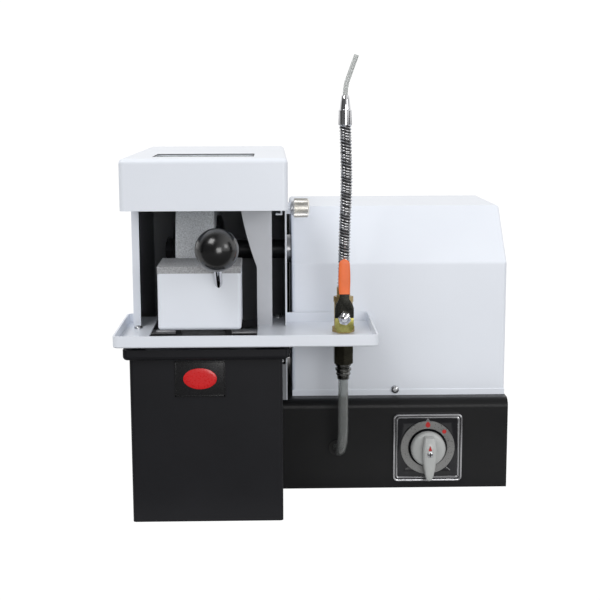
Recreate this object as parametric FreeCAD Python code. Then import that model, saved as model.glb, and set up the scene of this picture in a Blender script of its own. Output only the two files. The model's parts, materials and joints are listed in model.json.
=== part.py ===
import FreeCAD, Part
import math
import os

# A bench-top wet grinding machine with one wheel, for shaping stones and other
# hard samples.  A belt-driven spindle carries the wheel inside a sheet-metal
# chamber; water runs from a tap and a gooseneck hose over the wheel, along a
# drip pan and into a tank that pulls out at the front.
#
# Millimetres, +Z up, front towards -Y.  Everything is drawn from three faces
# of the machine: X = 0 is the tank's right side, Y = 0 the base's front face
# and Z = 0 the bench.  save() moves each piece to the row's origin, the middle
# of the machine's footprint.

V = FreeCAD.Vector
X = V(1, 0, 0)
Y = V(0, 1, 0)
Z = V(0, 0, 1)

# ---------------------------------------------------------------- dimensions
SHEET = 1.5                 # painted steel sheet of the chamber, cap and cover

# base housing
BASE_LEFT = -133.0
BASE_RIGHT = 208.0
BASE_DEPTH = 190.0
BASE_TOP = 84.0
BASE_WALL = 2.0
BASE_EDGE_R = 8.0           # rolled front edge
BENCH_HOLE_R = 3.3          # four M6 holes that bolt the base to a bench
BENCH_HOLES_X = 290.0
BENCH_HOLES_Y = 140.0

# water tank
TANK_LEFT = -128.4
TANK_FRONT = -87.0
TANK_BACK = -1.0
TANK_TOP = 150.5
TANK_WALL = 1.5
TANK_BACK_TOP = 116.0       # the back wall is low, so that the drip pan reaches over it
TANK_RIM = 5.0              # outward rim
TANK_RIM_TALL = 9.0

# splash tray
TRAY_LEFT = -141.0
TRAY_RIGHT = 80.0
TRAY_FRONT = -96.0
TRAY_BACK = 17.5
TRAY_Z = 153.0
TRAY_TOP = 163.0
TRAY_CORNER_R = 5.0
DRAIN_LEFT = -115.0
DRAIN_RIGHT = -21.5
DRAIN_FRONT = -90.0
TONGUE_BACK = 48.0          # the tray's two tongues reach into the chamber

# grinding chamber
CHAMBER_LEFT = -133.0
CHAMBER_RIGHT = 5.0
CHAMBER_FRONT = -5.0
CHAMBER_LOW_FRONT = 2.0
CHAMBER_TOP = 265.5
CHAMBER_FLANGE = 6.5

# hinged cap over the chamber
CAP_LEFT = -133.5
CAP_RIGHT = 5.2
CAP_FRONT = -86.0
CAP_BOTTOM = 265.7
CAP_TOP = 308.7
CAP_EDGE_R = 4.0
WINDOW = (-109.0, -23.0, -52.0, 5.0)
HINGE_Y = 193.0
HINGE_Z = 265.5
HINGE_LEFT = -105.0
HINGE_RIGHT = -25.0
HINGE_R = 3.0
HINGE_PIN_R = 1.5

# wheel and spindle
WHEEL_X = -76.5
WHEEL_R = 75.0
WHEEL_WIDTH = 34.0
SPINDLE_Y = 58.0
SPINDLE_Z = 217.0
SPINDLE_R = 7.5
FLANGE_R = 32.0
FLANGE_T = 6.0
BEARING_HOUSING_R = 19.5
PULLEY_X = 163.0
PULLEY_WIDTH = 18.0
SPINDLE_PITCH_R = 18.0      # belt pitch radii: the spindle turns 1.5 times as fast
MOTOR_PITCH_R = 27.0
PULLEY_UNDER_PITCH = 1.3
BELT_IN = 1.2
BELT_OUT = 1.4
BELT_WIDTH = 14.0

# motor
MOTOR_Y = 128.0
MOTOR_Z = 148.0
MOTOR_R = 50.0
MOTOR_LEFT = 40.0
MOTOR_RIGHT = 130.0
MOTOR_SHAFT_R = 7.5
ROTOR_R = 27.0
AIR_GAP = 0.3

# motor cover
COVER_LEFT = 10.0
COVER_RIGHT = 207.6
COVER_FRONT = 18.0
COVER_FOLD_Z = 208.0
COVER_FOLD_Y = 66.0
COVER_TOP = 256.5
COVER_HEM = 5.5
COVER_BEND_R = 3.0
VENT_COUNT = 12             # cooling slots in the cover's back
VENT_LEFT = 58.0
VENT_PITCH = 9.0
VENT_WIDTH = 3.6
VENT_BOTTOM = 150.0
VENT_TALL = 45.0

# work rest
PIVOT_Y = 8.0
PIVOT_Z = 146.0
PIVOT_R = 5.0
REST_LEFT = -104.6
REST_RIGHT = -34.6
REST_FRONT = -76.0
REST_BACK = -19.3
REST_TOP = 218.5
REST_PLATE_T = 6.0
REST_BOTTOM = 164.0
BALL = V(-53.3, -99.0, 235.0)
BALL_R = 18.0
LEVER_R = 3.5
LEVER_FOOT = V(-53.3, -66.0, 193.4)

# tap, hose and water feed
TAP_X = 54.0
TAP_Y = -35.0
TAP_STEM_Z = 169.0
TAP_NECK_TOP = 196.0
HOSE_R = 5.0
HOSE_BENDS = [V(54.0, -35.0, 196.0), V(55.0, -35.0, 242.0),
              V(56.4, -35.0, 288.0), V(55.2, -35.0, 334.0)]
HOSE_BALL_R = 4.6
HOSE_BALL_GAP = 0.05
HOSE_GAP = 1.9              # room for the rim of the next length to tip 20 degrees
TUBE_R = 4.5
TUBE_BORE_R = 3.0
TUBE_Z = 39.0
TUBE_TOP = 112.0
TUBE_BEND_R = 28.0
GROMMET_X = 50.0

# cam switch
SWITCH_X = 134.0
SWITCH_Z = 38.8
SWITCH_SIDE = 64.0
DIAL_R = 25.0
DIAL_IN_R = 17.8
KNOB_R = 15.9

# locking screw of the cap
LOCK_Y = 5.0
LOCK_Z = 260.0
LOCK_R = 3.0
LOCK_HEAD_R = 8.75
LOCK_HEAD = (11.0, 25.5)

# rear fittings
SPIGOT_R = 5.0
SPIGOT_LENGTH = 13.0
SPIGOT_END = BASE_DEPTH + 5.0 + SPIGOT_LENGTH
GLAND_X = 150.0

FIT = 0.05                  # radial running clearance

ORIGIN = V((TRAY_LEFT + BASE_RIGHT) / 2,
           (BALL.y - BALL_R + SPIGOT_END) / 2,
           0)


# ------------------------------------------------------------------- helpers
def block(x0, x1, y0, y1, z0, z1):
    return Part.makeBox(x1 - x0, y1 - y0, z1 - z0, V(x0, y0, z0))


def rod(start, axis, radius, length):
    return Part.makeCylinder(radius, length, start, axis)


def ring(start, axis, outer, inner, length):
    return rod(start, axis, outer, length).cut(rod(start, axis, inner, length))


def bar(start, end, radius):
    return rod(start, end - start, radius, (end - start).Length)


def prism(points, direction):
    """Flat outline of corner points, pushed out along direction."""
    outline = Part.makePolygon(points + [points[0]])
    return Part.Face(outline).extrude(direction)


def hexagon(start, axis, across_flats, length):
    corner = across_flats / math.sqrt(3)
    side = V(0, 0, 1).cross(axis)
    if side.Length < 0.5:
        side = V(1, 0, 0)
    side.normalize()
    other = axis.cross(side)
    points = []
    for step in range(6):
        turn = math.radians(60 * step)
        points.append(start + side * (corner * math.cos(turn)) + other * (corner * math.sin(turn)))
    return prism(points, axis * length)


def rounded(shape, radius, choose):
    """Fillet the edges whose middle point and direction pass choose()."""
    picked = []
    for edge in shape.Edges:
        first = edge.Vertexes[0].Point
        last = edge.Vertexes[-1].Point
        run = last - first
        if run.Length > 1e-6:
            run.normalize()
        if choose((first + last) * 0.5, run):
            picked.append(edge)
    return shape.makeFillet(radius, picked)


def fused(*shapes):
    whole = shapes[0]
    for shape in shapes[1:]:
        whole = whole.fuse(shape)
    return whole.removeSplitter()


def spun(profile, start, axis, side):
    """Turned piece: profile is a list of (distance along axis, radius)."""
    points = [start + axis * profile[0][0]]
    for along, radius in profile:
        points.append(start + axis * along + side * radius)
    points.append(start + axis * profile[-1][0])
    outline = Part.makePolygon(points + [points[0]])
    return Part.Face(outline).revolve(start, axis, 360)


def save(name, shape):
    placed = shape.copy()
    placed.translate(-ORIGIN)
    placed.exportStep("parts/%s.step" % name)
    print("%-20s %d solid(s) %9.1f mm3" % (name, len(placed.Solids), placed.Volume))


def save_group(name, shapes):
    save(name, Part.makeCompound(shapes))


# ---------------------------------------------------------------------- base
def base_housing():
    """Folded black housing, open below, with the front edge rolled."""
    def box_with_rolled_edge(inset, radius):
        raw = block(BASE_LEFT + inset, BASE_RIGHT - inset, inset, BASE_DEPTH - inset,
                    0, BASE_TOP - inset)
        return rounded(raw, radius, lambda middle, run: abs(run.x) > 0.9
                       and middle.y < inset + 0.1 and middle.z > BASE_TOP - inset - 0.1)

    shell = box_with_rolled_edge(0, BASE_EDGE_R)
    shell = shell.cut(box_with_rolled_edge(BASE_WALL, BASE_EDGE_R - BASE_WALL))
    tabs = [block(95, 116, COVER_FRONT + SHEET, COVER_FRONT + SHEET + 2, BASE_TOP, BASE_TOP + 12),
            block(40, 60, BASE_DEPTH - SHEET - 2, BASE_DEPTH - SHEET, BASE_TOP, BASE_TOP + 12),
            block(155, 175, BASE_DEPTH - SHEET - 2, BASE_DEPTH - SHEET, BASE_TOP, BASE_TOP + 12)]
    shell = fused(shell, *tabs)
    openings = [rod(V(SWITCH_X, -1, SWITCH_Z), Y, 13, 4),
                rod(V(GROMMET_X, -1, TUBE_Z), Y, 5.8, 4),
                rod(V(feed_exit_x(), BASE_DEPTH - 3, TUBE_Z), Y, 6.5, 5),
                rod(V(GLAND_X, BASE_DEPTH - 3, TUBE_Z), Y, 7.5, 5),
                rod(V(24, 165, BASE_TOP - 3), Z, 8, 5)]
    for opening in openings:
        shell = shell.cut(opening)
    for screw in case_screws():
        shell = shell.cut(screw)
    return shell


def bottom_plate():
    plate = block(BASE_LEFT + BASE_WALL, BASE_RIGHT - BASE_WALL, BASE_WALL,
                  BASE_DEPTH - BASE_WALL, 0, BASE_WALL)
    middle_x = (BASE_LEFT + BASE_RIGHT) / 2
    middle_y = BASE_DEPTH / 2
    for side in (-1, 1):
        for end in (-1, 1):
            centre = V(middle_x + side * BENCH_HOLES_X / 2, middle_y + end * BENCH_HOLES_Y / 2, -1)
            plate = plate.cut(rod(centre, Z, BENCH_HOLE_R, 4))
    return plate


def hose_grommet():
    """Rubber ring in the base's front wall, where the water tube goes in."""
    front = V(GROMMET_X, -1.6, TUBE_Z)
    whole = fused(rod(front, Y, 7.0, 1.6), rod(front, Y, 5.8, 5.2),
                  rod(V(GROMMET_X, BASE_WALL, TUBE_Z), Y, 7.0, 1.6))
    return whole.cut(feed_tube_outside())


def cable_gland():
    """Empty gland for the mains lead, in the base's back wall."""
    wall = V(GLAND_X, BASE_DEPTH, TUBE_Z)
    body = fused(rod(wall - Y * 8, Y, 7.5, 8), hexagon(wall, Y, 20, 5),
                 Part.makeCone(9, 6, 8, wall + Y * 5, Y),
                 hexagon(wall - Y * 6, Y, 20, 4))
    return body.cut(rod(wall - Y * 9, Y, 3.5, 24))


# --------------------------------------------------------------- water feed
def feed_direction():
    """Level direction in which the tube runs from under the tap into the base."""
    along = V(GROMMET_X - TAP_X, -TAP_Y, 0)
    along.normalize()
    return along


def feed_corner():
    """Where the tube, once inside the base, turns to run straight back."""
    return V(TAP_X, TAP_Y, TUBE_Z) + feed_direction() * 62


def feed_exit_x():
    return feed_corner().x


def feed_path():
    """Straight runs with tangent arcs, from the fitting to the rear inlet."""
    along = feed_direction()
    below = V(TAP_X, TAP_Y, TUBE_Z + TUBE_BEND_R)
    level = V(TAP_X, TAP_Y, TUBE_Z) + along * TUBE_BEND_R
    centre = below + along * TUBE_BEND_R
    middle = centre + (Z * -1 - along) * (TUBE_BEND_R / math.sqrt(2))
    corner = feed_corner()
    turn = along.getAngle(Y)
    easy_r = 120.0
    setback = easy_r * math.tan(turn / 2)
    start = corner - along * setback
    end = corner + Y * setback
    bisector = (Y - along)
    bisector.normalize()
    easy_centre = corner + bisector * (easy_r / math.cos(turn / 2))
    easy_middle = easy_centre - bisector * easy_r
    back = V(corner.x, BASE_DEPTH - 8, TUBE_Z)
    edges = [Part.LineSegment(V(TAP_X, TAP_Y, TUBE_TOP), below).toShape(),
             Part.Arc(below, middle, level).toShape(),
             Part.LineSegment(level, start).toShape(),
             Part.Arc(start, easy_middle, end).toShape(),
             Part.LineSegment(end, back).toShape()]
    return Part.Wire(edges)


def swept(path, start, axis, radius):
    section = Part.Wire([Part.Circle(start, axis, radius).toShape()])
    return path.makePipeShell([section], True, False)


def feed_tube_outside():
    return swept(feed_path(), V(TAP_X, TAP_Y, TUBE_TOP), Z, TUBE_R)


def feed_tube():
    """Clear water tube, held by the fitting, the grommet and the inlet."""
    return feed_tube_outside().cut(swept(feed_path(), V(TAP_X, TAP_Y, TUBE_TOP), Z, TUBE_BORE_R))


def inlet_spigot():
    """Hose spigot in the base's back wall, for the water supply."""
    inner = V(feed_exit_x(), BASE_DEPTH - 8, TUBE_Z)
    wall = V(feed_exit_x(), BASE_DEPTH, TUBE_Z)
    body = fused(rod(inner, Y, 6.5, 8), hexagon(wall, Y, 17, 5),
                 hexagon(wall - Y * 6, Y, 17, 4), rod(wall + Y * 5, Y, SPIGOT_R, SPIGOT_LENGTH))
    return body.cut(rod(inner, Y, TUBE_BORE_R, 40))


# ---------------------------------------------------------------------- tank
def water_tank():
    """Open tank with an outward rim on three sides and a low back wall."""
    outer = block(TANK_LEFT, 0, TANK_FRONT, TANK_BACK, 0, TANK_TOP)
    outer = rounded(outer, 3, lambda middle, run: abs(run.z) > 0.9)
    rim = block(TANK_LEFT - TANK_RIM, TANK_RIM, TANK_FRONT - TANK_RIM, TANK_BACK,
                TANK_TOP - TANK_RIM_TALL, TANK_TOP)
    rim = rounded(rim, 4, lambda middle, run: abs(run.z) > 0.9 and middle.y < TANK_BACK - 1)
    rim = rounded(rim, 3.5, lambda middle, run: middle.z < TANK_TOP - 1 and abs(run.z) < 0.1
                  and middle.y < TANK_BACK - 0.1)
    inner = block(TANK_LEFT + TANK_WALL, -TANK_WALL, TANK_FRONT + TANK_WALL,
                  TANK_BACK - TANK_WALL, TANK_WALL, TANK_TOP + 1)
    low_back = block(TANK_LEFT - 10, 10, TANK_BACK - TANK_WALL - 4, TANK_BACK + 1,
                     TANK_BACK_TOP, TANK_TOP + 1)
    return fused(outer, rim).cut(inner).cut(low_back)


def tank_badge():
    """Plain rounded plate on the tank's front."""
    plate = block(-90.5, -48.2, TANK_FRONT - 1, TANK_FRONT, 109.7, 140.2)
    return rounded(plate, 2, lambda middle, run: abs(run.y) > 0.9)


# ---------------------------------------------------------------------- tray
def splash_tray():
    """Folded tray that catches splashes and leads them to the tank."""
    outer = block(TRAY_LEFT, TRAY_RIGHT, TRAY_FRONT, TRAY_BACK, TRAY_Z, TRAY_TOP)
    outer = rounded(outer, TRAY_CORNER_R, lambda middle, run: abs(run.z) > 0.9)
    inner = block(TRAY_LEFT + SHEET, TRAY_RIGHT - SHEET, TRAY_FRONT + SHEET,
                  TRAY_BACK - SHEET, TRAY_Z + SHEET, TRAY_TOP + 1)
    inner = rounded(inner, TRAY_CORNER_R - SHEET, lambda middle, run: abs(run.z) > 0.9)
    tray = outer.cut(inner)
    tray = rounded(tray, 1.4, lambda middle, run: middle.z < TRAY_Z + 0.1 and abs(run.z) < 0.1
                   and middle.y < TRAY_BACK - 0.1)
    gap = 0.2
    wall_left = CHAMBER_LEFT - gap
    wall_right = CHAMBER_RIGHT + gap
    tray = tray.cut(block(wall_left, wall_right, 10, TRAY_BACK + 1, TRAY_Z + SHEET, TRAY_TOP + 1))
    for low, high in ((CHAMBER_LEFT + SHEET + gap, DRAIN_LEFT), (DRAIN_RIGHT, CHAMBER_RIGHT - SHEET - gap)):
        tray = tray.fuse(block(low, high, TRAY_BACK - 3, TONGUE_BACK, TRAY_Z, TRAY_Z + SHEET))
    drain = block(DRAIN_LEFT, DRAIN_RIGHT, DRAIN_FRONT, TONGUE_BACK + 1, TRAY_Z - 1, TRAY_TOP)
    drain = rounded(drain, 6, lambda middle, run: abs(run.z) > 0.9 and middle.y < 0)
    tray = tray.cut(drain).removeSplitter()
    tray = tray.cut(rod(V(TAP_X, TAP_Y, TRAY_Z - 1), Z, 5.5, 4))
    for screw in case_screws():
        tray = tray.cut(screw)
    return tray


def tray_brackets():
    """Angle brackets that carry the tray from the chamber's walls."""
    thick = 1.5
    foot_z = TRAY_Z - thick
    left = fused(block(-137, -119, -22, 0, foot_z, TRAY_Z),
                 block(CHAMBER_LEFT + SHEET, -119, -1, 45, foot_z, TRAY_Z),
                 block(CHAMBER_LEFT + SHEET, CHAMBER_LEFT + SHEET + thick, 15, 45, 128, TRAY_Z))
    inside = CHAMBER_RIGHT - SHEET
    right = fused(block(-20, inside, 15, 45, foot_z, TRAY_Z),
                  block(inside - thick, inside, 15, 45, 128, TRAY_Z))
    pair = []
    for bracket in (left, right):
        for screw in case_screws():
            bracket = bracket.cut(screw)
        pair.append(bracket)
    return pair


def pan_head_screw(head_face, axis):
    """M4 pan-head screw; head_face is where the head meets the sheet."""
    head = rod(head_face, axis * -1, 3.8, 2.4)
    head = rounded(head, 1.2, lambda middle, run: run.Length < 0.5 and (middle - head_face).Length > 4)
    return fused(head, rod(head_face, axis, 2.0, 3.0))


def case_screws():
    floor = TRAY_Z + SHEET
    return [pan_head_screw(V(-128, -12, floor), Z * -1),
            pan_head_screw(V(-3, 38, floor), Z * -1),
            pan_head_screw(V(105.5, COVER_FRONT - 0.5, BASE_TOP + COVER_HEM), Y),
            pan_head_screw(V(50, BASE_DEPTH, BASE_TOP + COVER_HEM), Y * -1),
            pan_head_screw(V(165, BASE_DEPTH, BASE_TOP + COVER_HEM), Y * -1)]


# ------------------------------------------------------------------- chamber
def chamber_shell():
    """White sheet chamber: floor, two sides, back and a lower front panel."""
    left = block(CHAMBER_LEFT, CHAMBER_LEFT + SHEET, CHAMBER_FRONT, BASE_DEPTH, BASE_TOP, CHAMBER_TOP)
    right = block(CHAMBER_RIGHT - SHEET, CHAMBER_RIGHT, CHAMBER_FRONT, BASE_DEPTH, BASE_TOP, CHAMBER_TOP)
    back = block(CHAMBER_LEFT, CHAMBER_RIGHT, BASE_DEPTH - SHEET, BASE_DEPTH, BASE_TOP, CHAMBER_TOP)
    floor = block(CHAMBER_LEFT, CHAMBER_RIGHT, CHAMBER_LOW_FRONT, BASE_DEPTH, BASE_TOP, BASE_TOP + SHEET)
    panel = block(CHAMBER_LEFT, CHAMBER_RIGHT, CHAMBER_LOW_FRONT, CHAMBER_LOW_FRONT + SHEET,
                  BASE_TOP, 117.5)
    flange = block(CHAMBER_LEFT, CHAMBER_LEFT + CHAMBER_FLANGE, CHAMBER_FRONT,
                   CHAMBER_FRONT + SHEET, TRAY_Z, CHAMBER_TOP)
    nut = hexagon(V(CHAMBER_RIGHT, LOCK_Y, LOCK_Z), X, 10, 3.6)
    shell = fused(left, right, back, floor, panel, flange, nut)
    under_tray = block(CHAMBER_LEFT - 1, CHAMBER_RIGHT + 1, CHAMBER_FRONT - 1, CHAMBER_LOW_FRONT,
                       BASE_TOP - 1, TRAY_Z + SHEET)
    tray_slot = block(CHAMBER_LEFT - 1, CHAMBER_RIGHT + 1, CHAMBER_FRONT - 1, TRAY_BACK + 0.2,
                      TRAY_Z - 0.1, TRAY_Z + SHEET + 0.1)
    holes = [under_tray, tray_slot,
             rod(V(CHAMBER_LEFT - 1, PIVOT_Y, PIVOT_Z), X, PIVOT_R, 145),
             rod(V(0, SPINDLE_Y, SPINDLE_Z), X, 13, 8),
             rod(V(0, LOCK_Y, LOCK_Z), X, LOCK_R + FIT, 12)]
    for hole in holes:
        shell = shell.cut(hole)
    return shell


def inner_baffle():
    """Grey guard plate beside the wheel; its edge sweeps out towards the top."""
    low = TRAY_Z + SHEET
    high = 262.0
    front = CHAMBER_FRONT + 1
    corner_a = V(-8.3, front, low)
    corner_b = V(-8.3, front, high)
    top = V(-36.0, front, high)
    bulge = V(-29.5, front, 232)
    knee = V(-21.8, front, 208)
    foot = V(-21.8, front, low)
    edges = [Part.LineSegment(corner_a, corner_b).toShape(),
             Part.LineSegment(corner_b, top).toShape(),
             Part.Arc(top, bulge, knee).toShape(),
             Part.LineSegment(knee, foot).toShape(),
             Part.LineSegment(foot, corner_a).toShape()]
    face = Part.Face(Part.Wire(edges)).extrude(Y * SHEET)
    side = block(-8.3 - SHEET, -8.3, front, 40, low, high)
    sole = block(-21.3, -8.3, front, 30, low, low + SHEET)
    return fused(face, side, sole)


def drip_pan():
    """Sloping pan with turned-up sides that carries the water to the tank."""
    thick = 1.2
    outline = [V(-130, 186, 125.0), V(-130, -8, 119.7), V(-130, -8, 118.5), V(-130, 186, 123.8)]
    floor = prism(outline, X * 132)
    for low, high in ((-131, -124), (-4, 3)):
        floor = floor.cut(block(low, high, -10, CHAMBER_LOW_FRONT + 3, 110, 130))
    lips = []
    for low in (-130.0, 2.0 - thick):
        lip = [V(low, 186, 123.8), V(low, 186, 133), V(low, 14, 127.8), V(low, 14, 119.1)]
        lips.append(prism(lip, X * thick))
    return fused(floor, *lips)


# ----------------------------------------------------------------------- cap
def hood_cap():
    """Folded white cap with rounded edges, a window and a locking tab."""
    def rounded_box(inset, low, radius):
        raw = block(CAP_LEFT + inset, CAP_RIGHT - inset, CAP_FRONT + inset, BASE_DEPTH - inset,
                    low, CAP_TOP - inset)
        return rounded(raw, radius, lambda middle, run: abs(run.z) > 0.9
                       or middle.z > CAP_TOP - inset - 0.1)

    cap = rounded_box(0, CAP_BOTTOM, CAP_EDGE_R).cut(
        rounded_box(SHEET, CAP_BOTTOM - 5, CAP_EDGE_R - SHEET))
    x0, x1, y0, y1 = WINDOW
    cap = cap.cut(block(x0, x1, y0, y1, CAP_TOP - 5, CAP_TOP + 1))
    tab = fused(block(-0.3, 1.2, 0, 10, 254, 268), block(-4.6, 1.2, 0, 10, 254, 255.5),
                block(-0.3, CAP_RIGHT - SHEET + 0.2, 0, 10, 266.5, 268))
    return fused(cap, tab)


def cap_window():
    x0, x1, y0, y1 = WINDOW
    top = CAP_TOP - SHEET
    pane = block(x0 - 4, x1 + 4, y0 - 4, y1 + 4, top - 2, top)
    return rounded(pane, 3, lambda middle, run: abs(run.z) > 0.9)


def hinge_knuckles(first):
    """Every second knuckle of the cap's hinge, starting with number first."""
    count = 5
    pitch = (HINGE_RIGHT - HINGE_LEFT) / count
    rings = []
    for number in range(first, count, 2):
        start = V(HINGE_LEFT + number * pitch + 0.15, HINGE_Y, HINGE_Z)
        rings.append(rod(start, X, HINGE_R, pitch - 0.3))
    return rings


def hinge_leaf(first, low, high, pin_clearance):
    """Leaf on the back face, joined to its knuckles by short webs."""
    leaf = block(HINGE_LEFT, HINGE_RIGHT, BASE_DEPTH, BASE_DEPTH + 1.5, low, high)
    pieces = [leaf]
    for knuckle in hinge_knuckles(first):
        box = knuckle.BoundBox
        reach = (min(low, HINGE_Z), max(high, HINGE_Z))
        web = block(box.XMin, box.XMax, BASE_DEPTH, BASE_DEPTH + 1.5,
                    max(reach[0], HINGE_Z - HINGE_R - 3.5), min(reach[1], HINGE_Z + HINGE_R + 3.5))
        pieces += [knuckle, web]
    whole = fused(*pieces)
    return whole.cut(rod(V(HINGE_LEFT - 1, HINGE_Y, HINGE_Z), X, HINGE_PIN_R + pin_clearance,
                         HINGE_RIGHT - HINGE_LEFT + 2))


def hinge_fixed_leaf():
    return hinge_leaf(0, 238, HINGE_Z - HINGE_R - 1, 0)


def hinge_moving_leaf():
    return hinge_leaf(1, HINGE_Z + HINGE_R + 1, 290, FIT)


def hinge_pin():
    return rod(V(HINGE_LEFT - 0.5, HINGE_Y, HINGE_Z), X, HINGE_PIN_R, HINGE_RIGHT - HINGE_LEFT + 1)


def lock_screw():
    """Thumb screw with a fluted head; its tip holds the cap's tab."""
    head_start, head_end = LOCK_HEAD
    head = rod(V(head_start, LOCK_Y, LOCK_Z), X, LOCK_HEAD_R, head_end - head_start)
    head = rounded(head, 1.0, lambda middle, run: abs(middle.x - head_start) < 0.1
                   or abs(middle.x - head_end) < 0.1)
    flutes = 40
    for step in range(flutes):
        turn = 2 * math.pi * step / flutes
        centre = V(head_start + 1.5, LOCK_Y + (LOCK_HEAD_R + 0.25) * math.cos(turn),
                   LOCK_Z + (LOCK_HEAD_R + 0.25) * math.sin(turn))
        head = head.cut(rod(centre, X, 0.6, head_end - head_start - 3))
    stud = rod(V(1.5, LOCK_Y, LOCK_Z), X, LOCK_R, head_start - 1.5)
    return fused(head, stud)


def lock_washer():
    return ring(V(9.2, LOCK_Y, LOCK_Z), X, 6.5, LOCK_R + FIT, 1.5)


# --------------------------------------------------------- wheel and spindle
def spindle():
    profile = [(-108, SPINDLE_R), (-53.5, SPINDLE_R), (-53.5, 10), (-48, 10), (-48, 9), (5.6, 9),
               (5.6, 12), (7.0, 12), (7.0, 10), (8.2, 10), (8.2, 12), (9.4, 12), (9.4, 9),
               (24, 9), (24, SPINDLE_R), (33, SPINDLE_R), (33, 9), (137, 9), (137, SPINDLE_R),
               (184, SPINDLE_R)]
    return spun(profile, V(0, SPINDLE_Y, SPINDLE_Z), X, Z)


def grinding_wheel():
    wheel = ring(V(WHEEL_X - WHEEL_WIDTH / 2, SPINDLE_Y, SPINDLE_Z), X, WHEEL_R, SPINDLE_R, WHEEL_WIDTH)
    axis = V(0, SPINDLE_Y, SPINDLE_Z)
    return rounded(wheel, 1.5, lambda middle, run: run.Length < 0.5
                   and (middle - V(middle.x, axis.y, axis.z)).Length > WHEEL_R - 1)


def wheel_flanges():
    left = WHEEL_X - WHEEL_WIDTH / 2
    right = WHEEL_X + WHEEL_WIDTH / 2
    pair = []
    for start, axis in ((V(left, SPINDLE_Y, SPINDLE_Z), X * -1), (V(right, SPINDLE_Y, SPINDLE_Z), X)):
        disc = spun([(0, FLANGE_R), (FLANGE_T - 2.5, FLANGE_R), (FLANGE_T, FLANGE_R - 6)], start, axis, Z)
        pair.append(disc.cut(rod(start - axis, axis, SPINDLE_R, 10)))
    return pair


def arbor_nut():
    start = V(WHEEL_X - WHEEL_WIDTH / 2 - FLANGE_T, SPINDLE_Y, SPINDLE_Z)
    nut = hexagon(start, X * -1, 22, 7)
    return nut.cut(rod(start + X, X * -1, SPINDLE_R, 10))


def bearing_housing():
    """Cast tube on a pedestal, bored at both ends for the spindle's bearings."""
    tube = rod(V(20, SPINDLE_Y, SPINDLE_Z), X, BEARING_HOUSING_R, 130)
    web = block(34, 136, 50, 66, BASE_TOP + 6, SPINDLE_Z - 10)
    foot = block(26, 144, 32, 75, BASE_TOP, BASE_TOP + 8)
    ribs = [prism([V(x, 34, BASE_TOP + 7), V(x, 74, BASE_TOP + 7), V(x, 66, 150), V(x, 50, 150)], X * 6)
            for x in (34, 82, 130)]
    casting = fused(tube, web, foot, *ribs)
    axis_start = V(19, SPINDLE_Y, SPINDLE_Z)
    casting = casting.cut(rod(axis_start, X, 11, 135))
    for start in (V(19, SPINDLE_Y, SPINDLE_Z), V(137, SPINDLE_Y, SPINDLE_Z)):
        casting = casting.cut(rod(start, X, 16, 14))
    return casting


def ball_bearings():
    """Two bearings on the spindle and two on the motor shaft, outer parts held still."""
    found = []
    for start in (24, 137):
        found.append(ring(V(start, SPINDLE_Y, SPINDLE_Z), X, 16, SPINDLE_R + FIT, 9))
    for start in (MOTOR_LEFT - 11, MOTOR_RIGHT):
        found.append(ring(V(start, MOTOR_Y, MOTOR_Z), X, 17.5, MOTOR_SHAFT_R + FIT, 11))
    return found


def pulley(y, z, pitch_radius, bore):
    """Flanged pulley with fine grooves round its rim."""
    rim = pitch_radius - PULLEY_UNDER_PITCH
    edge = 1.5
    middle = (PULLEY_WIDTH - BELT_WIDTH) / 2
    profile = [(0, rim + 0.8), (edge, rim + 0.8), (edge, rim)]
    grooves = 5
    step = BELT_WIDTH / grooves
    for groove in range(grooves):
        low = middle + groove * step
        profile += [(low, rim), (low + step / 2, rim - 1.2)]
    profile += [(middle + BELT_WIDTH, rim), (PULLEY_WIDTH - edge, rim),
                (PULLEY_WIDTH - edge, rim + 0.8), (PULLEY_WIDTH, rim + 0.8)]
    wheel = spun(profile, V(PULLEY_X, y, z), X, Z)
    return wheel.cut(rod(V(PULLEY_X - 1, y, z), X, bore, PULLEY_WIDTH + 2))


def spindle_pulley():
    return pulley(SPINDLE_Y, SPINDLE_Z, SPINDLE_PITCH_R, SPINDLE_R)


def motor_pulley():
    return pulley(MOTOR_Y, MOTOR_Z, MOTOR_PITCH_R, MOTOR_SHAFT_R)


def belt_loop(offset):
    """Solid inside of a belt line that lies offset from the pitch line."""
    a = V(PULLEY_X + (PULLEY_WIDTH - BELT_WIDTH) / 2, SPINDLE_Y, SPINDLE_Z)
    b = V(a.x, MOTOR_Y, MOTOR_Z)
    radius_a = SPINDLE_PITCH_R + offset
    radius_b = MOTOR_PITCH_R + offset
    span = b - a
    length = span.Length
    along = span * (1 / length)
    across = X.cross(along)
    lean = math.asin((radius_b - radius_a) / length)
    sides = []
    for sign in (1, -1):
        normal = across * (sign * math.cos(lean)) - along * math.sin(lean)
        sides.append((a + normal * radius_a, b + normal * radius_b))
    outline = [sides[0][0], sides[0][1], sides[1][1], sides[1][0]]
    return fused(rod(a, X, radius_a, BELT_WIDTH), rod(b, X, radius_b, BELT_WIDTH),
                 prism(outline, X * BELT_WIDTH))


def drive_belt():
    return belt_loop(BELT_OUT).cut(belt_loop(-BELT_IN))


# --------------------------------------------------------------------- motor
def motor_housing():
    return ring(V(MOTOR_LEFT, MOTOR_Y, MOTOR_Z), X, MOTOR_R, 45, MOTOR_RIGHT - MOTOR_LEFT)


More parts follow.
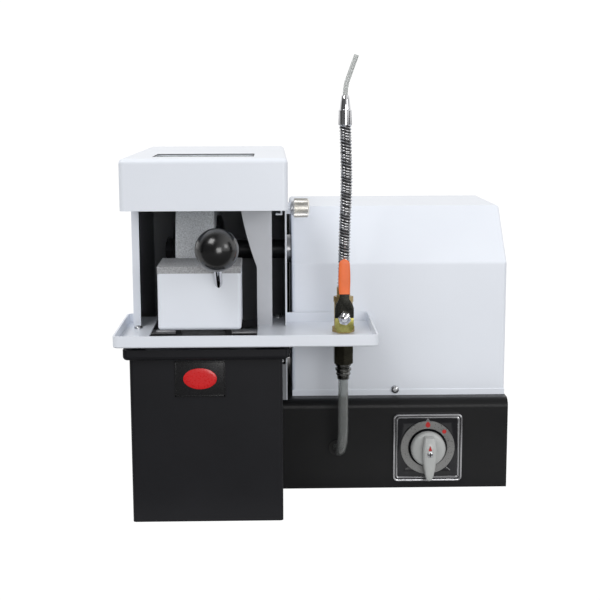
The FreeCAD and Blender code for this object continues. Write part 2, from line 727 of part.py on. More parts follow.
def end_bells():
    pair = []
    for low, seat in ((MOTOR_LEFT - 12, MOTOR_LEFT - 11), (MOTOR_RIGHT, MOTOR_RIGHT - 1)):
        bell = rod(V(low, MOTOR_Y, MOTOR_Z), X, MOTOR_R, 12)
        outer = low if low < MOTOR_LEFT else low + 12
        bell = rounded(bell, 4, lambda middle, run: abs(middle.x - outer) < 0.1)
        bell = bell.cut(rod(V(seat, MOTOR_Y, MOTOR_Z), X, 17.5, 12))
        bell = bell.cut(rod(V(low - 1, MOTOR_Y, MOTOR_Z), X, MOTOR_SHAFT_R + 1, 14))
        pair.append(bell)
    return pair


def stator():
    return ring(V(55, MOTOR_Y, MOTOR_Z), X, 45, ROTOR_R + AIR_GAP, 60)


def rotor():
    return ring(V(55, MOTOR_Y, MOTOR_Z), X, ROTOR_R, MOTOR_SHAFT_R, 60)


def motor_shaft():
    return rod(V(16, MOTOR_Y, MOTOR_Z), X, MOTOR_SHAFT_R, 167)


def cooling_fan():
    """Straight-bladed fan on the motor's rear shaft end."""
    hub = ring(V(18, MOTOR_Y, MOTOR_Z), X, 13, MOTOR_SHAFT_R, 8)
    disc = ring(V(24.5, MOTOR_Y, MOTOR_Z), X, 34, 12, 1.5)
    fan = fused(hub, disc)
    blades = 8
    for step in range(blades):
        blade = block(18, 25, MOTOR_Y - 1, MOTOR_Y + 1, MOTOR_Z + 12, MOTOR_Z + 36)
        blade.rotate(V(0, MOTOR_Y, MOTOR_Z), X, 360 * step / blades)
        fan = fan.fuse(blade)
    return fan.removeSplitter()


def fan_cover():
    cup = rod(V(13, MOTOR_Y, MOTOR_Z), X, 44, 15).cut(rod(V(14.2, MOTOR_Y, MOTOR_Z), X, 42.8, 15))
    holes = 12
    for step in range(holes):
        turn = 2 * math.pi * step / holes
        centre = V(12, MOTOR_Y + 26 * math.cos(turn), MOTOR_Z + 26 * math.sin(turn))
        cup = cup.cut(rod(centre, X, 4, 4))
    return cup


def motor_mount():
    """Plate with two saddles that carry the motor."""
    plate = block(44, 126, 84, 172, BASE_TOP, BASE_TOP + 6)
    saddles = [block(x, x + 12, 92, 164, BASE_TOP + 5, MOTOR_Z - 22) for x in (50, 108)]
    return fused(plate, *saddles).cut(rod(V(0, MOTOR_Y, MOTOR_Z), X, MOTOR_R, 200))


def run_capacitor():
    can = rod(V(100, 140, BASE_WALL), Z, 17, 62)
    can = rounded(can, 2, lambda middle, run: middle.z > 60)
    pins = [rod(V(100 + dx, 140, BASE_WALL + 61), Z, 2, 8) for dx in (-6, 6)]
    return fused(can, *pins)


# --------------------------------------------------------------- motor cover
def cover_profile(inset, x, low):
    front = COVER_FRONT + inset
    back = BASE_DEPTH - inset
    slant = inset * math.tan(math.radians(22.5))
    return [V(x, front, low), V(x, front, COVER_FOLD_Z - slant),
            V(x, COVER_FOLD_Y + slant, COVER_TOP - inset), V(x, back, COVER_TOP - inset),
            V(x, back, low)]


def motor_cover():
    """White sheet cover with a sloping front, a hem and rounded folds."""
    outer = prism(cover_profile(0, COVER_LEFT, BASE_TOP), X * (COVER_RIGHT - COVER_LEFT))
    outer = rounded(outer, COVER_BEND_R, lambda middle, run: middle.z > BASE_TOP + 1)
    inner = prism(cover_profile(SHEET, COVER_LEFT + SHEET, BASE_TOP - 1),
                  X * (COVER_RIGHT - COVER_LEFT - 2 * SHEET))
    inner = rounded(inner, COVER_BEND_R - SHEET, lambda middle, run: middle.z > BASE_TOP + 1)
    hem = block(COVER_LEFT, COVER_RIGHT, COVER_FRONT - 0.5, COVER_FRONT + 0.1, BASE_TOP,
                BASE_TOP + COVER_HEM)
    hem = rounded(hem, 0.4, lambda middle, run: middle.y < COVER_FRONT - 0.4 and middle.z > BASE_TOP + 1
                  and abs(run.x) > 0.9)
    cover = fused(outer.cut(inner), hem)
    cover = cover.cut(rod(V(0, SPINDLE_Y, SPINDLE_Z), X, 14, 14))
    for slot in range(VENT_COUNT):
        left = VENT_LEFT + slot * VENT_PITCH
        cover = cover.cut(block(left, left + VENT_WIDTH, BASE_DEPTH - 3, BASE_DEPTH + 1,
                                VENT_BOTTOM, VENT_BOTTOM + VENT_TALL))
    for screw in case_screws():
        cover = cover.cut(screw)
    return cover


# ----------------------------------------------------------------- work rest
def lever_line():
    return bar(LEVER_FOOT, BALL, LEVER_R)


def rest_pivot():
    shaft = rod(V(CHAMBER_LEFT - 2.5, PIVOT_Y, PIVOT_Z), X, PIVOT_R, 143)
    for groove in (CHAMBER_LEFT - 1.2, CHAMBER_RIGHT + 0.4):
        shaft = shaft.cut(ring(V(groove, PIVOT_Y, PIVOT_Z), X, PIVOT_R + 1, PIVOT_R - 0.6, 0.8))
    return shaft


def rest_arm():
    """Cast swing arm: hub, two cheeks, a front plate and a top pad."""
    hub = rod(V(-95, PIVOT_Y, PIVOT_Z), X, 9, 50)
    outline = [(2, 139.5), (-40, 171), (-70, 171), (-70, 212.5), (-28, 212.5), (-28, 196), (13, 153)]
    cheeks = [prism([V(x, y, z) for y, z in outline], X * 5) for x in (-95, -50)]
    front = block(-95, -45, -70, -66, 178, REST_TOP - REST_PLATE_T)
    pad = block(-95, -45, -70, -28, REST_TOP - REST_PLATE_T - 4, REST_TOP - REST_PLATE_T)
    arm = fused(hub, front, pad, *cheeks)
    arm = arm.cut(rod(V(-100, PIVOT_Y, PIVOT_Z), X, PIVOT_R + FIT, 60))
    return arm.cut(lever_line())


def rest_plate():
    """Rough wear plate that the work is pressed down on."""
    plate = block(REST_LEFT, REST_RIGHT, REST_FRONT, REST_BACK, REST_TOP - REST_PLATE_T, REST_TOP)
    return rounded(plate, 1, lambda middle, run: abs(run.x) > 0.9 and middle.z > REST_TOP - 0.1
                   and middle.y < REST_FRONT + 0.1)


def rest_front():
    """White folded cover round the front and sides of the rest."""
    top = REST_TOP - REST_PLATE_T
    outer = block(REST_LEFT, REST_RIGHT, REST_FRONT, -30, REST_BOTTOM, top)
    outer = rounded(outer, 3, lambda middle, run: middle.z < REST_BOTTOM + 0.1
                    and (abs(run.y) > 0.9 or middle.y < REST_FRONT + 0.1) or
                    (abs(run.z) > 0.9 and middle.y < REST_FRONT + 0.1))
    inner = block(REST_LEFT + SHEET, REST_RIGHT - SHEET, REST_FRONT + SHEET, -29,
                  REST_BOTTOM + SHEET, top + 1)
    inner = rounded(inner, 1.5, lambda middle, run: middle.z < REST_BOTTOM + SHEET + 0.1
                    and (abs(run.y) > 0.9 or middle.y < REST_FRONT + SHEET + 0.1) or
                    (abs(run.z) > 0.9 and middle.y < REST_FRONT + SHEET + 0.1))
    arm_way = block(-96, -44, -56, -20, REST_BOTTOM - 1, REST_BOTTOM + 5)
    return outer.cut(inner).cut(arm_way).cut(lever_line())


def ball_knob():
    return Part.makeSphere(BALL_R, BALL).cut(lever_line())


# -------------------------------------------------------------- tap and hose
def valve_body():
    """Brass tap with a square waist, a stem boss to the front and a hose neck."""
    floor = TRAY_Z + SHEET
    body = fused(hexagon(V(TAP_X, TAP_Y, floor), Z, 17, 5),
                 rod(V(TAP_X, TAP_Y, floor + 4), Z, 8.2, 24),
                 hexagon(V(TAP_X, TAP_Y, 181), Z, 15, 5),
                 rod(V(TAP_X, TAP_Y, 185), Z, 5.9, TAP_NECK_TOP - HOSE_GAP - 185),
                 rod(V(TAP_X, TAP_Y, TAP_STEM_Z), Y * -1, 6.5, 12))
    body = body.cut(rod(V(TAP_X, TAP_Y, floor - 1), Z, TUBE_BORE_R, 8))
    body = body.cut(rod(V(TAP_X, TAP_Y, TAP_STEM_Z), Y * -1, 3.5 + FIT, 20))
    return body.cut(Part.makeSphere(HOSE_BALL_R + HOSE_BALL_GAP, HOSE_BENDS[0]))


def tail_fitting():
    """Hexagon body and compression rings under the tray, with a thread up through it."""
    axis = V(TAP_X, TAP_Y, 0)
    body = fused(hexagon(axis + Z * 126, Z, 16.2, TRAY_Z - 126),
                 rod(axis + Z * TRAY_Z, Z, 5.0, SHEET),
                 rod(axis + Z * 124, Z, 7.0, 2.5),
                 rod(axis + Z * 121.5, Z, 5.6, 3),
                 rod(axis + Z * 119.4, Z, 7.2, 2.2),
                 rod(axis + Z * 116.8, Z, 6.0, 3),
                 rod(axis + Z * 114.6, Z, 6.8, 2.3),
                 rod(axis + Z * TUBE_TOP, Z, 5.6, 3))
    return body.cut(rod(axis + Z * 110, Z, TUBE_BORE_R, 46))


def valve_lever():
    """Plated steel lever with its stem; the grip end carries a sleeve."""
    face = TAP_Y - 15
    z = TAP_STEM_Z
    outline = [(-8.2, z + 11), (-8.2, z - 9), (-6, z - 12.5), (6, z - 12.5), (8.2, z - 9),
               (8.2, z + 11), (4.2, z + 17), (4.2, z + 50), (-4.2, z + 50), (-4.2, z + 17)]
    plate = prism([V(TAP_X + dx, face, dz) for dx, dz in outline], Y * 1.6)
    stem = rod(V(TAP_X, TAP_Y - 3, z), Y * -1, 3.5, 11.0)
    stud = rod(V(TAP_X, face + 3, z), Y * -1, 3.0, 8.5)
    return fused(plate, stem, rod(V(TAP_X, TAP_Y - 13.2, z), Y * -1, 3.5, 0.9), stud)


def lever_sleeve():
    """Soft grip pushed over the lever's upper end."""
    face = TAP_Y - 15
    low = TAP_STEM_Z + 21
    high = TAP_STEM_Z + 51.5
    outer = block(TAP_X - 5.2, TAP_X + 5.2, face - 1.0, face + 2.6, low, high)
    outer = rounded(outer, 1.2, lambda middle, run: abs(run.y) < 0.1)
    return outer.cut(block(TAP_X - 4.2, TAP_X + 4.2, face, face + 1.6, low - 1, TAP_STEM_Z + 50))


def lever_nut():
    start = V(TAP_X, TAP_Y - 15, TAP_STEM_Z)
    nut = hexagon(start, Y * -1, 10, 4.6)
    return nut.cut(rod(start + Y, Y * -1, 3.0, 10))


def hose_length(number):
    """One straight length of the gooseneck, with a ball at its foot."""
    foot = HOSE_BENDS[number]
    head = HOSE_BENDS[number + 1]
    axis = head - foot
    length = axis.Length
    axis.normalize()
    last = number == len(HOSE_BENDS) - 2
    tall = length if last else length - HOSE_GAP
    piece = fused(rod(foot, axis, HOSE_R, tall), Part.makeSphere(HOSE_BALL_R, foot))
    if not last:
        piece = piece.cut(Part.makeSphere(HOSE_BALL_R + HOSE_BALL_GAP, head))
    return piece


def nozzle_foot():
    return HOSE_BENDS[-1]


def hose_nozzle():
    """Turned end fitting: a short barrel and a cone."""
    base = nozzle_foot()
    profile = [(0, 5.0), (0.8, 5.85), (12.4, 5.85), (13.3, 5.4), (24.2, 2.7), (25.5, 2.7)]
    body = spun(profile, base, Z, X).cut(hose_length(len(HOSE_BENDS) - 2))
    return body.cut(rod(base + Z * 6, Z, 2.15, 30))


def nozzle_tip():
    """Short clear tube that leans to the right."""
    base = nozzle_foot() + Z * 6
    knee = V(base.x, base.y, 367.0)
    lean = math.radians(20)
    tilt = V(math.sin(lean), 0, math.cos(lean))
    radius = 40.0
    setback = radius * math.tan(lean / 2)
    start = knee - Z * setback
    end = knee + tilt * setback
    centre = start + X * radius
    middle = centre + V(-math.cos(lean / 2), 0, math.sin(lean / 2)) * radius
    top = knee + tilt * 28.0
    path = Part.Wire([Part.LineSegment(base, start).toShape(), Part.Arc(start, middle, end).toShape(),
                      Part.LineSegment(end, top).toShape()])
    return swept(path, base, Z, 2.15).cut(swept(path, base, Z, 1.3))


# -------------------------------------------------------------------- switch
def switch_plate():
    """Square front plate with a raised double frame round its edge."""
    half = SWITCH_SIDE / 2

    def square(side, y0, y1, radius):
        raw = block(SWITCH_X - side, SWITCH_X + side, y0, y1, SWITCH_Z - side, SWITCH_Z + side)
        return rounded(raw, radius, lambda middle, run: abs(run.y) > 0.9)

    plate = square(half, -1.6, 0, 3)
    outer_frame = square(half, -3.2, -1.5, 3).cut(square(half - 1.6, -4, 0, 2))
    inner_frame = square(half - 2.6, -2.6, -1.5, 2).cut(square(half - 3.8, -4, 0, 1.5))
    plate = fused(plate, outer_frame, inner_frame)
    return plate.cut(rod(V(SWITCH_X, -4, SWITCH_Z), Y, 4, 5))


def switch_dial():
    """Flat ring round the knob that carries the position marks."""
    return ring(V(SWITCH_X, -2.8, SWITCH_Z), Y, DIAL_R, DIAL_IN_R, 1.2)


def switch_knob():
    """Round knob with a tapered lever across it and a stub shaft behind."""
    disc = rod(V(SWITCH_X, -11, SWITCH_Z), Y, KNOB_R, 8.8)
    disc = rounded(disc, 2.5, lambda middle, run: middle.y < -10.9)
    outline = [(-4.5, 13.5), (4.5, 13.5), (6.5, 4), (6.2, -6), (3.2, -25.5), (0, -27.3),
               (-3.2, -25.5), (-6.2, -6), (-6.5, 4)]
    lever = prism([V(SWITCH_X + dx, -22, SWITCH_Z + dz) for dx, dz in outline], Y * 12)
    lever = rounded(lever, 1.5, lambda middle, run: middle.y < -21.9)
    shaft = rod(V(SWITCH_X, -3, SWITCH_Z), Y, 3, 20)
    return fused(disc, lever, shaft)


def switch_body():
    """Contact block behind the base's front wall."""
    neck = rod(V(SWITCH_X, 0, SWITCH_Z), Y, 13, 2.5)
    box = block(SWITCH_X - 22, SWITCH_X + 22, BASE_WALL, 44, SWITCH_Z - 22, SWITCH_Z + 22)
    return fused(neck, box).cut(rod(V(SWITCH_X, -1, SWITCH_Z), Y, 3 + FIT, 19))


# -------------------------------------------------------------------- output
os.makedirs("parts", exist_ok=True)

SINGLE_PIECES = [
    base_housing, bottom_plate, hose_grommet, cable_gland, inlet_spigot, feed_tube,
    water_tank, tank_badge, splash_tray, chamber_shell, inner_baffle, drip_pan,
    hood_cap, cap_window, hinge_fixed_leaf, hinge_moving_leaf, hinge_pin, lock_screw, lock_washer,
    spindle, grinding_wheel, arbor_nut, bearing_housing, spindle_pulley, motor_pulley, drive_belt,
    motor_housing, stator, rotor, motor_shaft, cooling_fan, fan_cover, motor_mount, run_capacitor,
    motor_cover, rest_pivot, rest_arm, rest_plate, rest_front, ball_knob,
    valve_body, tail_fitting, valve_lever, lever_sleeve, lever_nut, hose_nozzle, nozzle_tip,
    switch_plate, switch_dial, switch_knob, switch_body,
]
GROUPS = [case_screws, tray_brackets, wheel_flanges, ball_bearings, end_bells]

for make in SINGLE_PIECES:
    save(make.__name__, make())
for make in GROUPS:
    save_group(make.__name__, make())
save("lever_rod", lever_line())
for number, name in enumerate(("gooseneck_lower", "gooseneck_middle", "gooseneck_upper")):
    save(name, hose_length(number))
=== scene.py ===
import json
import math

import bmesh
import bpy
from mathutils import Matrix, Vector, noise


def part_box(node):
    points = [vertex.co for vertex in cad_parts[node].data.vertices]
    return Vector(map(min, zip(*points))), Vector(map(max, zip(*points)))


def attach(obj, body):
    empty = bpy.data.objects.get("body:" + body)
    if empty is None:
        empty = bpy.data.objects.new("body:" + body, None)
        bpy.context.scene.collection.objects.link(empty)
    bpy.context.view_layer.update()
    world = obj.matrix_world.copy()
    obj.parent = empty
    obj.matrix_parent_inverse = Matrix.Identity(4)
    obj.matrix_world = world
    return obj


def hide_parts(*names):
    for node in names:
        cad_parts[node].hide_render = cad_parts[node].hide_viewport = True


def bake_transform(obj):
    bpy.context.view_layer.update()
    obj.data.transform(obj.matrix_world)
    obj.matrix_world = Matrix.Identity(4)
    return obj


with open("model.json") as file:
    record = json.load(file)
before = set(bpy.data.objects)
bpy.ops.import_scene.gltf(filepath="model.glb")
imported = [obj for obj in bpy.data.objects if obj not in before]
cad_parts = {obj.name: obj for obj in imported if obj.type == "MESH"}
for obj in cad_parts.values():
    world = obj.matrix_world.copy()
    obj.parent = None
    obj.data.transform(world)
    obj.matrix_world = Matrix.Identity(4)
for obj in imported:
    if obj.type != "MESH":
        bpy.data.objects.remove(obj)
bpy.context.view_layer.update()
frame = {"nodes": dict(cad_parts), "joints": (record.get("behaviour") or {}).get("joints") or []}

# Camera
# A long lens a little over a metre in front of the machine, just above the top of the cap and
# looking down by nine degrees, so that the tray, the rest and the cap's window show their tops.
LENS = 73.8
SENSOR_WIDE = 36
CAMERA_AT = Vector((-0.0420, -1.1429, 0.3553))
CAMERA_DOWN = math.radians(9.22)
CAMERA_RIGHTWARD = math.radians(1.32)
CAMERA_ROLL = math.radians(-0.195)


def placed(name, data):
    """Puts new data into the scene as an object."""
    thing = bpy.data.objects.new(name, data)
    bpy.context.scene.collection.objects.link(thing)
    return thing


ahead = Vector((math.sin(CAMERA_RIGHTWARD) * math.cos(CAMERA_DOWN),
    math.cos(CAMERA_RIGHTWARD) * math.cos(CAMERA_DOWN), -math.sin(CAMERA_DOWN)))
level_right = Vector((math.cos(CAMERA_RIGHTWARD), -math.sin(CAMERA_RIGHTWARD), 0))
level_up = level_right.cross(ahead)
right = level_right * math.cos(CAMERA_ROLL) + level_up * math.sin(CAMERA_ROLL)
up = right.cross(ahead)
lens = bpy.data.cameras.new("studio_camera")
lens.lens = LENS
lens.sensor_width = SENSOR_WIDE
lens.clip_end = 50
camera = placed("studio_camera", lens)
camera.matrix_world = Matrix((
    (right.x, up.x, -ahead.x, CAMERA_AT.x),
    (right.y, up.y, -ahead.y, CAMERA_AT.y),
    (right.z, up.z, -ahead.z, CAMERA_AT.z),
    (0, 0, 0, 1)))
bpy.context.scene.camera = camera

# Studio
# A pale sheet on a darker bench lies under the machine. A large soft light stands up on the left, a
# smaller one on the right, and a low one in front reaches under the cap. Polished pieces mirror a
# room that is dark in front, bright on the right and behind, with a dark flag at each side.
SKY_LIGHT = 0.75
SKY_SEEN = 1.05
SKY_MIRRORED_DARK = 0.12
SKY_MIRRORED_BRIGHT = 1.0
SKY_FADES = (("X", -0.05, 0.7), ("Y", 0.0, 0.5))
LIGHTS_AIM = Vector((0, 0, 0.15))
SOFT_LIGHTS = (("key_light", (-0.9, -1.2, 1.9), 0.9, 14), ("side_light", (1.3, -1.1, 0.9), 0.5, 3),
    ("low_front_light", (0.45, -2.3, 0.42), 0.9, 12))
SHEET_FRONT = -0.172
SHEET_EDGE = 0.004
SHEET_SHADE = 0.60
BENCH_SHADE = 0.14
FLOOR_SIZE = 40
FLAG_AWAY = 1.5
FLAG_SIZE = (1.4, 0.5, 1)


def step(tree, kind, feeds, **settings):
    """Adds a node. feeds gives each input's value, or the node or socket that feeds it."""
    node = tree.nodes.new(kind)
    for key, value in settings.items():
        setattr(node, key, value)
    for key, value in feeds.items():
        if isinstance(value, bpy.types.Node):
            value = value.outputs[0]
        if isinstance(value, bpy.types.NodeSocket):
            tree.links.new(value, node.inputs[key])
        else:
            node.inputs[key].default_value = value
    return node


def reckon(tree, first, operation, second):
    """Adds one step of arithmetic on two values."""
    return step(tree, "ShaderNodeMath", {0: first, 1: second}, operation=operation)


def blank(name):
    """A new material with a plain shader."""
    material = bpy.data.materials.new(name)
    material.use_nodes = True
    return material


def tune(material, **values):
    """Sets a shader's plain values, such as Coat_Weight."""
    for name, value in values.items():
        material.node_tree.nodes["Principled BSDF"].inputs[name.replace("_", " ")].default_value = value
    return material


bpy.context.scene.view_settings.view_transform = "Standard"
sky = bpy.data.worlds.new("studio_sky")
sky.use_nodes = True
tree = sky.node_tree
ray = step(tree, "ShaderNodeLightPath", {})
way = step(tree, "ShaderNodeTexCoord", {})
way = step(tree, "ShaderNodeSeparateXYZ", {0: way.outputs["Generated"]})
fades = [step(tree, "ShaderNodeMapRange", {"Value": way.outputs[part], "From Min": dark_at,
    "From Max": bright_at, "To Min": SKY_MIRRORED_DARK, "To Max": SKY_MIRRORED_BRIGHT}) for part, dark_at,
    bright_at in SKY_FADES]
mirrored = reckon(tree, fades[0], "MAXIMUM", fades[1])
lighting = step(tree, "ShaderNodeMix", {"Factor": ray.outputs["Is Glossy Ray"], "A": SKY_LIGHT,
    "B": mirrored})
seen = step(tree, "ShaderNodeMix", {"Factor": ray.outputs["Is Camera Ray"], "A": lighting, "B": SKY_SEEN})
tree.links.new(seen.outputs[0], tree.nodes["Background"].inputs["Strength"])
tree.nodes["Background"].inputs["Color"].default_value = (1, 1, 1, 1)
bpy.context.scene.world = sky

for name, place, size, power in SOFT_LIGHTS:
    lamp = bpy.data.lights.new(name, "AREA")
    lamp.size = size
    lamp.energy = power
    holder = placed(name, lamp)
    holder.location = place
    holder.rotation_euler = (LIGHTS_AIM - Vector(place)).to_track_quat("-Z", "Y").to_euler()

felt = tune(blank("black_felt"), Base_Color=(0.01, 0.01, 0.01, 1), Roughness=0.9)
for side in (-1, 1):
    bpy.ops.mesh.primitive_plane_add(size=1, location=(side * FLAG_AWAY, -0.35, 0.6),
        rotation=(0, math.pi / 2, 0))
    flag = bpy.context.object
    flag.name = "flag_left" if side < 0 else "flag_right"
    flag.scale = FLAG_SIZE
    flag.visible_camera = False
    flag.visible_diffuse = False
    flag.data.materials.append(felt)

bpy.ops.mesh.primitive_plane_add(size=FLOOR_SIZE, location=(0, 0, -0.0005))
floor = bpy.context.object
floor.name = "floor"
paper = blank("pale_paper")
tree = paper.node_tree
place = step(tree, "ShaderNodeTexCoord", {})
place = step(tree, "ShaderNodeSeparateXYZ", {0: place.outputs["Object"]})
shade = step(tree, "ShaderNodeMapRange",
    {"Value": place.outputs["Y"], "From Min": SHEET_FRONT - SHEET_EDGE,
    "From Max": SHEET_FRONT + SHEET_EDGE, "To Min": BENCH_SHADE, "To Max": SHEET_SHADE})
tree.links.new(shade.outputs[0], tree.nodes["Principled BSDF"].inputs["Base Color"])
floor.data.materials.append(tune(paper, Roughness=0.9))
floor.visible_camera = False

# Cap
# The hinged cap is a deep box folded from steel sheet with rounded edges, and powder-coated white
# with a faint orange-peel ripple.
WHITE = (0.80, 0.835, 0.90)


def finish(name, colour, roughness, metallic=0.0, mottle=0.10, patch=60, grain=900, relief=0.000005,
        streak=(1, 1, 1)):
    """A finish whose colour, gloss and fine relief vary over the piece; streak draws the grain out."""
    material = blank(name)
    tree = material.node_tree
    place = step(tree, "ShaderNodeTexCoord", {})
    drawn = step(tree, "ShaderNodeMapping", {"Vector": place.outputs["Object"], "Scale": streak})
    cloud = step(tree, "ShaderNodeTexNoise", {"Vector": drawn, "Scale": patch, "Detail": 5}, name="cloud")
    fine = step(tree, "ShaderNodeTexNoise", {"Vector": drawn, "Scale": grain, "Detail": 5})
    tint = step(tree, "ShaderNodeValToRGB", {"Fac": cloud}, name="tint")
    for stop, spot, share in ((0, 0.3, 1 - mottle), (1, 0.7, 1 + mottle)):
        tint.color_ramp.elements[stop].position = spot
        tint.color_ramp.elements[stop].color = (*[min(1, part * share) for part in colour], 1)
    gloss = step(tree, "ShaderNodeMapRange", {"Value": fine, "From Min": 0.3, "From Max": 0.7,
        "To Min": roughness * 0.85, "To Max": min(1, roughness * 1.2)})
    bump = step(tree, "ShaderNodeBump", {"Height": fine, "Distance": relief})
    for source, value in ((tint, "Base Color"), (gloss, "Roughness"), (bump, "Normal")):
        tree.links.new(source.outputs[0], tree.nodes["Principled BSDF"].inputs[value])
    return tune(material, Metallic=metallic)


def dress(material, *nodes):
    """Gives pieces of the frame this finish."""
    for node in nodes:
        piece = frame["nodes"][node]
        if not piece.material_slots:
            piece.data.materials.append(material)
        for place in piece.material_slots:
            place.material = material


white_coat = tune(finish("white_powder_coat", WHITE, 0.34, mottle=0.012, patch=14, grain=420,
    relief=0.000018), Coat_Weight=0.15, Coat_Roughness=0.2)
dress(white_coat, "hood_cap")

# Cap window
# A pane of slightly milky polycarbonate under the opening in the cap's top. Its polished edges look
# grey-green, because light runs along inside the sheet.
dress(tune(finish("clear_pane", (0.90, 0.95, 0.93), 0.06, mottle=0.02, patch=20, grain=200,
    relief=0.000004), Transmission_Weight=0.45, IOR=1.58), "cap_window")

# Window edge bead
# A thin black bead round the top of the opening's cut edge, just above the pane. It is painted shade: a
# dark line along the opening's edge, which the pane also mirrors.
SHADE_BEAD_WIDE = 0.0008
SHADE_BEAD_TALL = 0.0006
SHADE_BEAD_LIFT = 0.0008
PANE_OVERLAP = 0.004


def shown(name, shape, finishes, sharp=32):
    """Turns a bmesh into an object with these finishes, smooth except at its sharp edges."""
    mesh = bpy.data.meshes.new(name)
    shape.to_mesh(mesh)
    shape.free()
    for material in finishes:
        mesh.materials.append(material)
    mesh.shade_smooth()
    mesh.set_sharp_from_angle(angle=math.radians(sharp))
    return placed(name, mesh)


def built(name, shape, *finishes, sharp=32):
    """Closes a bmesh into an object with outward faces."""
    bmesh.ops.remove_doubles(shape, verts=shape.verts, dist=1e-7)
    bmesh.ops.recalc_face_normals(shape, faces=shape.faces)
    return shown(name, shape, finishes, sharp)


def slab(name, outline, push, edge, *finishes, segments=3):
    """A flat outline pushed out along a vector, with every edge rounded."""
    shape = bmesh.new()
    face = shape.faces.new([shape.verts.new(corner) for corner in outline])
    grown_part = bmesh.ops.extrude_face_region(shape, geom=[face])["geom"]
    bmesh.ops.translate(shape,
        verts=[part for part in grown_part if isinstance(part, bmesh.types.BMVert)], vec=push)
    bmesh.ops.bevel(shape, geom=list(shape.edges), offset=edge, segments=segments, profile=0.6,
        affect="EDGES")
    return built(name, shape, *finishes)


def together(name, *pieces):
    """Joins loose parts of one piece into one mesh."""
    shape = bmesh.new()
    finishes = []
    for piece in pieces:
        start = len(shape.faces)
        shape.from_mesh(piece.data)
        shape.faces.ensure_lookup_table()
        for face in shape.faces[start:]:
            material = piece.data.materials[face.material_index]
            if material not in finishes:
                finishes.append(material)
            face.material_index = finishes.index(material)
    whole = shown(name, shape, finishes)
    for piece in pieces:
        bpy.data.objects.remove(piece)
    return whole


rubber = finish("black_rubber", (0.012, 0.012, 0.012), 0.62, mottle=0.15, patch=200, grain=1400,
    relief=0.00002)
low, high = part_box("cap_window")
west, east = low.x + PANE_OVERLAP, high.x - PANE_OVERLAP
south, north = low.y + PANE_OVERLAP, high.y - PANE_OVERLAP
# Each side of the bead is a near-black bar of painted shade.
lips = []
for x0, x1, y0, y1 in ((west, east, south, south + SHADE_BEAD_WIDE), (west, east, north - SHADE_BEAD_WIDE, north),
        (west, west + SHADE_BEAD_WIDE, south, north), (east - SHADE_BEAD_WIDE, east, south, north)):
    corners = [Vector((x, y, high.z + SHADE_BEAD_LIFT)) for x, y in ((x0, y0), (x1, y0), (x1, y1), (x0, y1))]
    lips.append(slab("gasket_side", corners, Vector((0, 0, SHADE_BEAD_TALL)), 0.0002, rubber))
shade_bead = together("window_edge_gasket", *lips)
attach(shade_bead, "cap")

# Cap hinge
# A steel butt hinge, zinc plated, behind the cap. Its pin stays in the fixed leaf's knuckles, and
# dome rivets hold the lower leaf to the chamber and the upper leaf to the cap.
RIVET_R = 0.0022
RIVET_TALL = 0.0011
RIVETS = 4
LEAF_THICK = 0.0015


def turned(name, profile, foot, axis, *finishes, across=None, sides=72, closed=False):
    """A lathe-turned piece: profile lists (distance along the axis, radius). across limits it to a
    hexagon of that width, and closed joins the last ring to the first, as on a tube."""
    axis = Vector(axis).normalized()
    out = axis.orthogonal().normalized()
    over = axis.cross(out)
    shape = bmesh.new()
    rings = []
    for along, radius in profile:
        ring = []
        for number in range(sides if radius else 1):
            turn = 2 * math.pi * number / sides
            reach = radius
            if across:
                reach = min(radius, across / 2 / math.cos(turn % (math.pi / 3) - math.pi / 6))
            away = out * math.cos(turn) + over * math.sin(turn)
            ring.append(shape.verts.new(foot + axis * along + away * reach))
        rings.append(ring)
    if closed:
        rings.append(rings[0])
    for low, high in zip(rings, rings[1:]):
        for number in range(sides):
            after = (number + 1) % sides
            corners = [low[number % len(low)], low[after % len(low)], high[after % len(high)],
                high[number % len(high)]]
            shape.faces.new(list(dict.fromkeys(corners)))
    return built(name, shape, *finishes)


def new_tree(name, sizes):
    """A geometry tree with one named input for each size, and its input and output nodes."""
    tree = bpy.data.node_groups.new(name, "GeometryNodeTree")
    tree.interface.new_socket("Geometry", in_out="INPUT", socket_type="NodeSocketGeometry")
    tree.interface.new_socket("Geometry", in_out="OUTPUT", socket_type="NodeSocketGeometry")
    for label, value in sizes.items():
        kind = "NodeSocketInt" if isinstance(value, int) else "NodeSocketFloat"
        tree.interface.new_socket(label, in_out="INPUT", socket_type=kind).default_value = value
    return tree, tree.nodes.new("NodeGroupInput").outputs, tree.nodes.new("NodeGroupOutput")


def end_tree(tree, result, geometry, material):
    """Realizes the instances and sets the finish."""
    real = step(tree, "GeometryNodeRealizeInstances", {"Geometry": geometry})
    dressed = step(tree, "GeometryNodeSetMaterial", {"Geometry": real, "Material": material})
    tree.links.new(dressed.outputs[0], result.inputs[0])


def kept(piece):
    """Keeps a piece's modified shape as its plain mesh."""
    bpy.context.view_layer.update()
    mesh = bpy.data.meshes.new_from_object(piece.evaluated_get(bpy.context.evaluated_depsgraph_get()))
    piece.modifiers.clear()
    piece.data = mesh


def grown(piece, tree, sizes, sharp=32):
    """Runs a tree on a piece with these sizes."""
    modifier = piece.modifiers.new(tree.name, "NODES")
    modifier.node_group = tree
    for socket in tree.interface.items_tree:
        if socket.in_out == "INPUT" and socket.name in sizes:
            modifier[socket.identifier] = sizes[socket.name]
    kept(piece)
    piece.data.shade_smooth()
    piece.data.set_sharp_from_angle(angle=math.radians(sharp))
    return piece


zinc = finish("bright_zinc", (0.60, 0.61, 0.63), 0.32, metallic=1.0, patch=120, grain=1500,
    relief=0.000006)
dress(zinc, "hinge_fixed_leaf", "hinge_moving_leaf", "hinge_pin")

